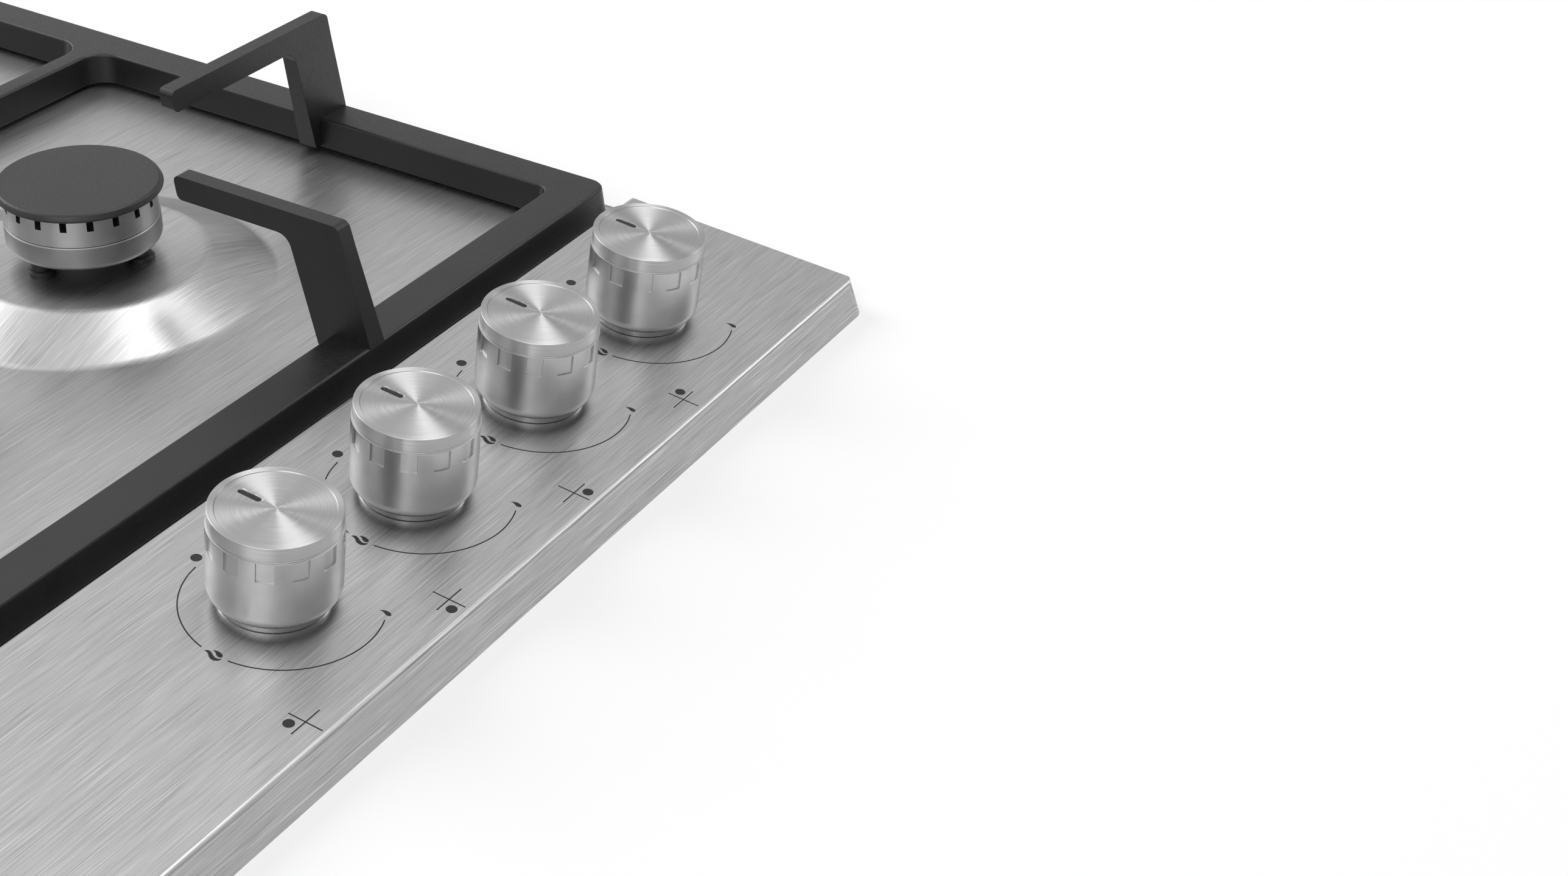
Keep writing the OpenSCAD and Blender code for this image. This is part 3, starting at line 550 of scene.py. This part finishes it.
def model_knob_cap():
    """A knob's metal cap: dished face with a rim and a slot that points from the axis."""
    rim_r, rim_inner, rings = 16.6, 14.9, 8
    rim = [(rim_r, KNOB_BODY_TOP), (rim_r, KNOB_TOP), (rim_inner, KNOB_TOP), (DISH_R, DISH_FLOOR)]
    profile = rounded(rim, [0, 0.18, 0.06, 0], 3)
    steps = [(DISH_R * (1 - k / rings), DISH_FLOOR) for k in range(1, rings)]
    ob = turned("knob_cap", [(0, KNOB_BODY_TOP)] + profile + steps + [(0, DISH_FLOOR)], 96)
    cutter = slab("slot_cutter", pointer_outline(1.7), 27.4, 29)
    return round_edges(combine(ob, [cutter], "DIFFERENCE"), 0.00012, 60, 2)


def model_pointer_fill():
    """The black paint in the pointer slot, a hair narrower than the slot."""
    return slab("pointer_fill", pointer_outline(1.62), 27.35, 27.8)


def model_collar():
    """The short ring on the panel inside a knob's skirt, with a narrow foot."""
    inner, outer, foot, top = 12.8, 14.2, 14.5, 5.2
    profile = [(inner, 0), (foot, 0), (foot, 0.3), (outer, 0.45), (outer, top), (inner, top), (inner, 0)]
    return turned("collar", profile, 96)


def model_cup(r):
    """A burner's cup of cast aluminium: neck through the seat and a bowl that is rounded underneath."""
    bore_r, neck_r, neck_foot = 9, 12, 8
    neck = [(bore_r, neck_foot), (neck_r, neck_foot)]
    bowl = rounded([(neck_r, CUP_FOOT), (r - 1.9, CUP_FOOT), (r - 2.1, 30.2), (r - 2.4, CUP_TOP)],
                   [0, 2.4, 0, 0])
    return turned("cup", neck + bowl + [(bore_r, CUP_TOP), (bore_r, neck_foot)])


def model_head(r):
    """A burner's head: a wall with flame slots at its top, a floor and the mixing tube."""
    outer = r - 3.1
    inner = outer - 3
    tube_in, tube_out, tube_foot, floor = 7.2, 8.6, 12, 32.9
    profile = [(tube_in, tube_foot), (tube_out, tube_foot), (tube_out, CUP_TOP), (outer + 0.5, CUP_TOP),
               (outer + 0.8, 30.8), (outer, HEAD_TOP), (inner, HEAD_TOP), (inner, floor), (tube_in, floor),
               (tube_in, tube_foot)]
    ob = turned("head", profile)
    small_r, small_slots = 25.3, 18
    count = round(r / small_r * small_slots)
    cutters = []
    for k in range(count):
        turn = math.radians(360 * (k + 0.5) / count)
        pick()
        bpy.ops.mesh.primitive_cube_add(size=MM, location=(0, 0, 0))
        box = named("slot_cutter")
        box.scale = (6, 2, 5.6)
        place(box, Matrix.Rotation(turn, 4, "Z") @ Matrix.Translation(((outer - 1.5) * MM, 0, 38.4 * MM)))
        cutters.append(box)
    return round_edges(combine(ob, [join("cutters", cutters)], "DIFFERENCE"), 0.0002, 50, 2)


def model_cap(r):
    """A burner's enamelled cap: a flat disc with a soft edge and a plug that centres it in the head."""
    plug = r - 6.5
    plug_foot = 38.1
    edge = rounded([(plug, HEAD_TOP), (r, HEAD_TOP), (r - 1.2, CAP_TOP), (0, CAP_TOP)],
                   [0, 0.55, 1.1, 0], 5)
    return turned("cap", [(0, plug_foot), (plug, plug_foot)] + edge[:-1] + [(0, CAP_TOP)])


def model_seat_ring(r):
    """The black ring between a burner's cup and the seat in the plate."""
    inner, outer = 12.2, r - 10.3
    edge = rounded([(inner, RING_FOOT), (outer, RING_FOOT), (outer, CUP_FOOT), (inner, CUP_FOOT)],
                   [0, 0, 0.8, 0], 3)
    return turned("seat_ring", edge + [(inner, RING_FOOT)])


def model_ceramic():
    """The ceramic body of an electrode or probe."""
    return turned("ceramic", [(0, -8), (1.7, -8), (1.7, 29.6), (1.3, 30), (0, 30)], 24)


def model_pin():
    """The wire that stands out of the ceramic."""
    return turned("pin", [(0, 29.5), (0.8, 29.5), (0.8, 34.6), (0.4, 35), (0, 35)], 16)


def model_pin_collar():
    """The black collar round the ceramic where it comes through the plate."""
    foot_r, sleeve_r, top = 4, 3, 22
    return turned("pin_collar", [(0, RING_FOOT), (foot_r, RING_FOOT), (foot_r, 18.2), (3.7, 18.6),
                                 (sleeve_r, 18.9), (sleeve_r, top), (0, top)], 32)


def drafted(name, points, z0, z1, growth):
    """A slab whose outline grows outwards by growth millimetres on each side towards its top."""
    ob = slab(name, points, z0, z1)
    xs = [p[0] for p in points]
    ys = [p[1] for p in points]
    edit_with(ob, "VERT", lambda p: p.z > (z0 + z1) / 2)
    wide = (max(xs) - min(xs), max(ys) - min(ys))
    middle = ((max(xs) + min(xs)) / 2 * MM, (max(ys) + min(ys)) / 2 * MM, z1 * MM)
    bpy.ops.transform.resize(value=((wide[0] + 2 * growth) / wide[0], (wide[1] + 2 * growth) / wide[1], 1),
                             center_override=middle)
    bpy.ops.object.mode_set(mode="OBJECT")
    return ob


def box_outline(a, b, radii):
    """A rectangle between two corners, with its own corners rounded."""
    return rounded([a, (b[0], a[1]), b, (a[0], b[1])], radii)


def model_finger(name, points, matrix, edge):
    """A cast finger from its side view: its sides lean in from the foot to the arm, with rounded edges."""
    arm_half, lean_top = 2.65, 47.9
    ob = slab(name, points, -FINGER_HALF, FINGER_HALF)
    place(ob, Matrix.Rotation(math.radians(90), 4, "X"))
    xs = [p[0] for p in points]
    outline = [(-FINGER_HALF, 10), (FINGER_HALF, 10), (arm_half, lean_top), (arm_half, 57), (-arm_half, 57),
               (-arm_half, lean_top)]
    sides = slab("sides", outline, min(xs) - 1, max(xs) + 1)
    place(sides, Matrix.Rotation(math.radians(90), 4, "Z") @ Matrix.Rotation(math.radians(90), 4, "X"))
    combine(ob, [sides], "INTERSECT")
    round_edges(ob, edge, 40, 3)
    return place(ob, matrix)


def finger_outline(lean, reach):
    """Side view of a finger on an outer rail: the leg leans in by lean and the arm ends at reach."""
    return rounded([(0.6, 11), (0, RAIL_TOP), (lean, REST_TOP), (reach, REST_TOP), (reach - 1.2, ARM_UNDER),
                    (lean + 18.2, ARM_UNDER), (17.4, 10.6)], [0, 0, 2.5, 2, 2, 5, 0])


def rib_finger_outline(front, back):
    """Side view of the finger on the rib, with an arm to the front and one to the back."""
    foot = 11
    inner = foot - 10.1 / 2
    return rounded([(-foot, 10.6), (-inner, ARM_UNDER), (1.2 - front, ARM_UNDER), (-front, REST_TOP),
                    (back, REST_TOP), (back - 1.2, ARM_UNDER), (inner, ARM_UNDER), (foot, 10.6)],
                   [0, 5, 2, 2, 2, 2, 5, 0])


def tip_gap(r):
    """Gap from a burner's cap to its finger tips, which is wider round the small burner."""
    return 15 if r < 30 else 7


def model_support(front, rear, edge):
    """The right-hand pan support: a cast frame with a rib, five posts and six arms over two burners."""
    x0, x1, y0, y1 = 3, 289.8, -166.6, 252.4
    side_rail, end_rail, rib_half, draft = 13.5, 14.2, 3.6, 1.06
    rib = (y0 + y1) / 2
    bx = 165.5
    yf = (y0 + end_rail + rib - rib_half) / 2
    yr = (y1 - end_rail + rib + rib_half) / 2
    foot = box_outline((x0 - draft, y0 - draft), (x1 + draft, y1 + draft), [6.06] * 4)
    body = drafted("frame", foot, 9.6, RAIL_TOP, -draft)
    holes = []
    near, far = x0 + side_rail, x1 - side_rail
    for a, b, radii in (((near, y0 + end_rail), (far, rib - rib_half), [4.5, 4.5, 9, 9]),
                        ((near, rib + rib_half), (far, y1 - end_rail), [9, 9, 4.5, 4.5])):
        inset = 1.11
        points = box_outline((a[0] + inset, a[1] + inset), (b[0] - inset, b[1] - inset), radii)
        holes.append(drafted("window", points, 9.1, 20.7, 1.16))
    combine(body, holes, "DIFFERENCE")
    round_edges(body, edge, 50, 3)
    sideways = Matrix.Rotation(math.radians(90), 4, "Z")
    flip = Matrix.Rotation(math.radians(180), 4, "Z")
    front_tip, rear_tip = (r + tip_gap(r) for r in (front, rear))

    def at(x, y):
        return Matrix.Translation((x * MM, y * MM, 0))

    end_lean, side_lean = 10.1, 6.7
    fingers = [
        model_finger("finger", finger_outline(end_lean, yf - y0 - front_tip), at(bx, y0) @ sideways, edge),
        model_finger("finger", finger_outline(end_lean, y1 - yr - rear_tip),
                     at(bx, y1) @ sideways @ flip, edge),
        model_finger("finger", rib_finger_outline(rib - yf - front_tip, yr - rib - rear_tip),
                     at(bx, rib) @ sideways, edge)]
    for y, tip in ((yf, front_tip), (yr, rear_tip)):
        fingers.append(model_finger("finger", finger_outline(side_lean, bx - x0 - tip), at(x0, y), edge))
        fingers.append(model_finger("finger", finger_outline(side_lean, x1 - bx - tip),
                                    at(x1, y) @ flip, edge))
    return tidy_mesh(combine(body, fingers, "UNION"), 0.001)


def mirrored(ob):
    """Mirrors a piece to the other side of the hob and turns its faces outwards again."""
    place(ob, Matrix.Scale(-1, 4, (1, 0, 0)))
    return tidy_mesh(ob, 0.001)


def arc_strip(radius, start, end, width, steps):
    """A printed arc as a thin slab."""
    outline = arc((0, CIRCLE_SHIFT), radius + width / 2, start, end, steps)
    outline += arc((0, CIRCLE_SHIFT), radius - width / 2, end, start, steps)
    return slab("arc", outline, -PRINT_HALF, PRINT_HALF)


def stroke(a, b, width):
    """A printed straight line as a thin slab."""
    a, b = Vector(a), Vector(b)
    d = (b - a).normalized() * width / 2
    n = Vector((-d.y, d.x))
    return slab("line", [tuple(a + n), tuple(a - n), tuple(b - n), tuple(b + n)], -PRINT_HALF, PRINT_HALF)


def printed(points, centre=(0, 0)):
    """A printed closed shape as a thin slab."""
    return slab("shape", [(x + centre[0], y + centre[1]) for x, y in points], -PRINT_HALF, PRINT_HALF)


# Outlines of the flames, in millimetres from the knob's axis
TONGUE = [(-25.85, 0.45), (-25.4, 0.1), (-25.15, -0.6), (-25.45, -1.5), (-26, -2.4), (-26.35, -3.2),
          (-26.35, -3.85), (-26.1, -4.35), (-25.7, -4.8), (-26.4, -4.75), (-27, -4.3), (-27.4, -3.5),
          (-27.35, -2.6), (-26.95, -1.8), (-26.35, -1.1), (-25.95, -0.4)]
DROP = [(-24.55, -1.15), (-24.2, -1.85), (-24.1, -2.7), (-24.35, -3.7), (-24.75, -4.3), (-25.25, -4.45),
        (-25.6, -4.15), (-25.7, -3.5), (-25.45, -2.85), (-24.85, -2.1)]
SMALL_FLAME = [(12.2, -23.3), (12.7, -23.95), (13, -24.9), (12.95, -25.8), (12.65, -26.45), (12.35, -26.7),
               (11.95, -26.7), (11.65, -26.25), (11.6, -25.55), (12, -24.7), (12.25, -24.05)]


def model_marks(k, line):
    """The print round one knob: off dot, turning arc, large and small flame, and which burner it turns."""
    burner = {1: (-1, 1), 2: (-1, -1), 3: (1, -1), 4: (1, 1)}[k]
    cross = Vector((-31.25, -34.3))
    circle = arc((0, 0), 1.5, 0, 345, 23)
    circle_r = 25.7
    parts = [printed(circle, (0.3, 25.1)), printed(circle, cross + Vector(burner) * 2.75),
             arc_strip(circle_r, 96, 169.6, line, 24), arc_strip(circle_r, 188, 292.5, line, 40),
             stroke(cross - Vector((5.3, 0)), cross + Vector((5.3, 0)), line),
             stroke(cross - Vector((0, 5)), cross + Vector((0, 5)), line),
             printed(TONGUE), printed(DROP), printed(SMALL_FLAME)]
    return place(join(f"marks_{k}", parts), knob_place(k) @ Matrix.Translation((0, 0, 0.01 * MM)))


# Operators

class HOB_OT_top(bpy.types.Operator):
    """Finish the pressed steel top"""
    bl_idname = "hob.top"
    bl_label = "Steel Top"

    def execute(self, context):
        plate = cad_copy("top_plate", "steel_top")
        seal = cad_copy("worktop_seal", "foam_seal")
        lean = sizes().front_lean
        for ob, edge, rise in ((plate, -250, math.tan(panel_tilt())), (seal, -254, 0)):
            edit_with(ob, "VERT", lambda p: p.y < edge and p.z > 2)
            bpy.ops.transform.translate(value=(0, lean, lean * rise))
            bpy.ops.object.mode_set(mode="OBJECT")
        round_edges(plate, sizes().steel_round, 40, 3)
        dress(plate, brushed_steel(), "hob", ["top_plate"], 30)
        dress(seal, plain_finish("closed-cell foam", "#3a3a3b", 0.0, 0.8, 0.6, 0.05), "hob",
              ["worktop_seal"])
        return {"FINISHED"}


class HOB_OT_marks(bpy.types.Operator):
    """Print the marks round each knob"""
    bl_idname = "hob.marks"
    bl_label = "Printed Marks"

    def execute(self, context):
        ink = plain_finish("screen-printed black ink", colours().print_black, rough=0.55, depth=0.001)
        for k in KNOBS:
            dress(model_marks(k, sizes().print_line / MM), ink, "hob")
        return {"FINISHED"}


class HOB_OT_knobs(bpy.types.Operator):
    """Model one knob with its cap, pointer and collar, and copy it to the four taps"""
    bl_idname = "hob.knobs"
    bl_label = "Knobs"

    def execute(self, context):
        c = colours()
        body_metal = satin_aluminium("satin turned aluminium", c.knob_dark, c.knob_light, 0.34)
        cap_metal = spun_aluminium("spun aluminium", c.knob_dark, c.knob_light)
        ink = plain_finish("black pointer paint", c.print_black, rough=0.5, depth=0.001)
        collar_metal = satin_aluminium("satin collar aluminium", c.collar_dark, c.collar_light, 0.3)
        knob = model_knob(sizes().knob_segments, sizes().pocket_depth)
        cap = model_knob_cap()
        polar_map(cap, 28)
        fill = model_pointer_fill()
        collar = model_collar()
        collars = []
        for k in KNOBS:
            there = knob_place(k)
            body = f"knob_turn_{k}"
            dress(place(copy_of(knob, f"turned_knob_{k}"), there), body_metal, body,
                  [f"knob_{k}"])
            dress(place(copy_of(cap, f"spun_cap_{k}"), there), cap_metal, body,
                  [f"knob_cap_{k}"])
            dress(place(copy_of(fill, f"pointer_{k}"), there), ink, body)
            collars.append(place(copy_of(collar, f"collar_{k}"), there))
        dress(join("panel_collars", collars), collar_metal, "hob", ["knob_collars"])
        for ob in (knob, cap, fill, collar):
            bpy.data.objects.remove(ob)
        return {"FINISHED"}


class HOB_OT_burners(bpy.types.Operator):
    """Model the four burners: seat ring, cup, head with flame slots and enamelled cap"""
    bl_idname = "hob.burners"
    bl_label = "Burners"

    def execute(self, context):
        c = colours()
        cup_metal = satin_aluminium("die-cast aluminium", c.cup_dark, c.cup_light, 0.4)
        head_metal = satin_aluminium("machined cast aluminium", c.head_dark, c.head_light, 0.34)
        cap_enamel = enamelled_iron("matt black cap enamel", c.cap_dark, c.cap_light, 0.42)
        black = plain_finish("black heat-proof coating", "#1c1c1d", rough=0.5)
        rings = []
        for name in BURNERS:
            r = cap_radius(name)
            there = burner_place(name)
            for model, metal, body, slot, node, title in (
                    (model_cup, cup_metal, "hob", "cup_aluminium", "burner_cup", "cast_cup"),
                    (model_head, head_metal, f"head_{name}", "head_aluminium", "burner_head", "cast_head"),
                    (model_cap, cap_enamel, f"cap_{name}", "cap_enamel", "burner_cap", "enamel_cap")):
                ob = dress(place(model(r), there), metal, body, [f"{node}_{name}"])
                ob.name = f"{title}_{name}"
            rings.append(place(model_seat_ring(r), there))
        dress(join("black_seat_rings", rings), black, "hob", ["seat_rings"])
        return {"FINISHED"}


class HOB_OT_igniters(bpy.types.Operator):
    """Model the spark electrodes and flame probes with their ceramics and black collars"""
    bl_idname = "hob.igniters"
    bl_label = "Igniters"

    def execute(self, context):
        glaze = plain_finish("glazed alumina", "#e8e4da", rough=0.25, blob=1.0, depth=0.002)
        steel = plain_finish("heat-proof wire", "#a09c96", 1.0, 0.35)
        black = bpy.data.materials["black heat-proof coating"]
        inset = 8
        for node, turn, title, slot in (("electrodes", 172, "electrode", "ceramic"),
                                        ("flame_probes", 292, "probe", "probe_metal")):
            bodies, pins, collars = [], [], []
            for name in BURNERS:
                out = Matrix.Translation(((cap_radius(name) - inset) * MM, 0, 0))
                there = burner_place(name) @ Matrix.Rotation(math.radians(turn), 4, "Z") @ out
                bodies.append(place(model_ceramic(), there))
                pins.append(place(model_pin(), there))
                collars.append(place(model_pin_collar(), there))
            dress(join(f"{title}_ceramics", bodies), glaze, "hob", [node])
            dress(join(f"{title}_wires", pins), steel, "hob")
            dress(join(f"{title}_collars", collars), black, "hob")
        return {"FINISHED"}


class HOB_OT_supports(bpy.types.Operator):
    """Model the two cast pan supports"""
    bl_idname = "hob.supports"
    bl_label = "Pan Supports"

    def execute(self, context):
        c = colours()
        iron = enamelled_iron("matt enamelled cast iron", c.iron_dark, c.iron_light, 0.4)
        for side in ("right", "left"):
            front, rear = cap_radius(f"front_{side}"), cap_radius(f"rear_{side}")
            ob = model_support(front, rear, sizes().iron_round)
            ob.name = f"cast_support_{side}"
            if side == "left":
                mirrored(ob)
            dress(ob, iron, f"support_{side}", [f"pan_support_{side}"], 32)
        return {"FINISHED"}


class HOB_OT_fittings(bpy.types.Operator):
    """Finish the parts under the top, which keep their engineering shapes"""
    bl_idname = "hob.fittings"
    bl_label = "Fittings"

    def execute(self, context):
        finishes = {
            "zinc_box": plain_finish("zinc-plated sheet", "#b8babc", 1.0, 0.42, 2.0),
            "zinc_screw": plain_finish("zinc-plated steel", "#c2c2bd", 1.0, 0.35),
            "gas_tube": plain_finish("drawn steel tube", "#a9a9a8", 1.0, 0.4),
            "brass": plain_finish("machined brass", "#c9a65a", 1.0, 0.3),
            "black_plastic": plain_finish("moulded glass-filled nylon", "#29292a", 0.0, 0.5),
            "lead_rubber": plain_finish("silicone rubber lead", "#4a4a4b", 0.0, 0.6),
            "foot_rubber": plain_finish("moulded silicone foot", "#242425", 0.0, 0.65),
            "shaft_steel": plain_finish("turned steel", "#b6b6b5", 1.0, 0.3),
        }
        for part in frame["record"]["subparts"]:
            finish = finishes.get(part["material_slot"])
            if finish:
                data = frame["nodes"][part["node"]].data
                data.materials.clear()
                data.materials.append(finish)
        axis = Vector(knob_joint(1)["axis"])
        for k in KNOBS:
            node = f"return_spring_{k}"
            spring = cad_copy(node, f"spring_{k}")
            middle = (low(node) + high(node)) / 2
            edit_with(spring, "VERT", lambda p: (p - middle).dot(axis) > 0)
            bpy.ops.transform.translate(value=axis * -sizes().spring_room)
            bpy.ops.object.mode_set(mode="OBJECT")
            dress(spring, finishes["shaft_steel"], "hob", [node])
        return {"FINISHED"}


class HOB_OT_stage(bpy.types.Operator):
    """Set the worktop, the soft light and the camera"""
    bl_idname = "hob.stage"
    bl_label = "Stage"

    def execute(self, context):
        pick()
        bpy.ops.mesh.primitive_plane_add(size=6)
        top = named("worktop")
        wide, deep = sizes().cut_out_w / 2 / MM, sizes().cut_out_d / 2 / MM
        hole = slab("cut_out", [(-wide, -deep), (wide, -deep), (wide, deep), (-wide, deep)], -5, 5)
        combine(top, [hole], "DIFFERENCE")
        top.data.materials.append(worktop_laminate())
        set_world()
        for name, place_m, size, power in (
                ("window_left", (-1.6, -0.6, 1.5), 1.4, 11),
                ("window_back", (0.2, 1.9, 1.3), 1.5, 18),
                ("ceiling", (0.9, -0.3, 2.2), 0.7, 12),
                ("window_right", (1.8, -1, 1.2), 0.6, 5)):
            lamp = bpy.data.lights.new(name, "AREA")
            lamp.size = size
            lamp.energy = power
            ob = bpy.data.objects.new(name, lamp)
            context.scene.collection.objects.link(ob)
            ob.location = place_m
            ob.rotation_euler = (-Vector(place_m)).to_track_quat("-Z", "Y").to_euler()
        add_camera(context.scene)
        context.scene.view_settings.view_transform = "Standard"
        return {"FINISHED"}


def worktop_laminate():
    """Matt white laminate: shows plain white to the camera and in reflections, and keeps a soft shadow."""
    f = Finish("matt white laminate", Roughness=0.7)
    f.shader.inputs["Base Color"].default_value = linear(colours().worktop)
    return f.material


def set_world():
    """White surroundings for the eye, a white room with a darker side for gloss, and plain soft light."""
    world = bpy.data.worlds.new("white studio")
    bpy.context.scene.world = world
    world.use_nodes = True
    tree = world.node_tree
    tree.nodes.clear()
    path = add_node(tree, "ShaderNodeLightPath").outputs
    where = add_node(tree, "ShaderNodeTexCoord").outputs["Generated"]
    side = add_node(tree, "ShaderNodeVectorMath", {0: where, 1: (0.75, -0.6, 0.25)},
                    operation="DOT_PRODUCT")
    dim = add_node(tree, "ShaderNodeMapRange", {"Value": side.outputs["Value"], "From Min": -0.2,
                                                "From Max": 0.8, "To Min": 1.05, "To Max": 0.45})
    gloss = add_node(tree, "ShaderNodeMath", {0: path["Is Glossy Ray"], 1: dim.outputs["Result"]},
                     operation="MULTIPLY")
    eye = add_node(tree, "ShaderNodeMath", {0: path["Is Camera Ray"], 1: path["Is Transmission Ray"]},
                   operation="MAXIMUM")
    seen = add_node(tree, "ShaderNodeMath", {0: gloss.outputs[0], 1: eye.outputs[0]}, operation="MAXIMUM")
    level = add_node(tree, "ShaderNodeMath", {0: seen.outputs[0], 1: 0.5}, operation="MAXIMUM")
    sky = add_node(tree, "ShaderNodeBackground", {"Color": (1, 1, 1, 1), "Strength": level.outputs[0]})
    add_node(tree, "ShaderNodeOutputWorld", {"Surface": sky.outputs[0]})


def add_camera(scene):
    """The camera that matches the photograph's viewpoint and lens."""
    data = bpy.data.cameras.new("camera")
    data.sensor_fit = "HORIZONTAL"
    data.sensor_width = 36
    data.lens = 55.861
    data.clip_start = 0.01
    ob = bpy.data.objects.new("camera", data)
    scene.collection.objects.link(ob)
    heading, down, roll = -62.742, 32.434, 3.161
    turn = Matrix.Rotation(math.radians(heading), 4, "Z")
    turn @= Matrix.Rotation(math.radians(90 - down), 4, "X")
    turn @= Matrix.Rotation(math.radians(roll), 4, "Z")
    ob.matrix_world = Matrix.Translation((-0.31638, -0.54829, 0.37904)) @ turn
    scene.camera = ob


OPERATORS = (HOB_OT_top, HOB_OT_marks, HOB_OT_knobs, HOB_OT_burners, HOB_OT_igniters, HOB_OT_supports,
             HOB_OT_fittings, HOB_OT_stage)


class HOB_PT_panel(bpy.types.Panel):
    bl_label = "Gas Hob"
    bl_idname = "HOB_PT_panel"
    bl_space_type = "VIEW_3D"
    bl_region_type = "UI"
    bl_category = "Gas Hob"

    def draw(self, context):
        for operator in OPERATORS:
            self.layout.operator(operator.bl_idname)
        for group in (context.scene.hob_sizes, context.scene.hob_colours):
            for key in group.__annotations__:
                self.layout.prop(group, key)


CLASSES = (HobSizes, HobColours) + OPERATORS + (HOB_PT_panel,)


def register():
    for cls in CLASSES:
        bpy.utils.register_class(cls)
    bpy.types.Scene.hob_sizes = PointerProperty(type=HobSizes)
    bpy.types.Scene.hob_colours = PointerProperty(type=HobColours)


def unregister():
    del bpy.types.Scene.hob_colours
    del bpy.types.Scene.hob_sizes
    for cls in reversed(CLASSES):
        bpy.utils.unregister_class(cls)


def main():
    register()
    bpy.ops.hob.top()
    bpy.ops.hob.marks()
    bpy.ops.hob.knobs()
    bpy.ops.hob.burners()
    bpy.ops.hob.igniters()
    bpy.ops.hob.supports()
    bpy.ops.hob.fittings()
    bpy.ops.hob.stage()


if __name__ == "__main__":
    main()
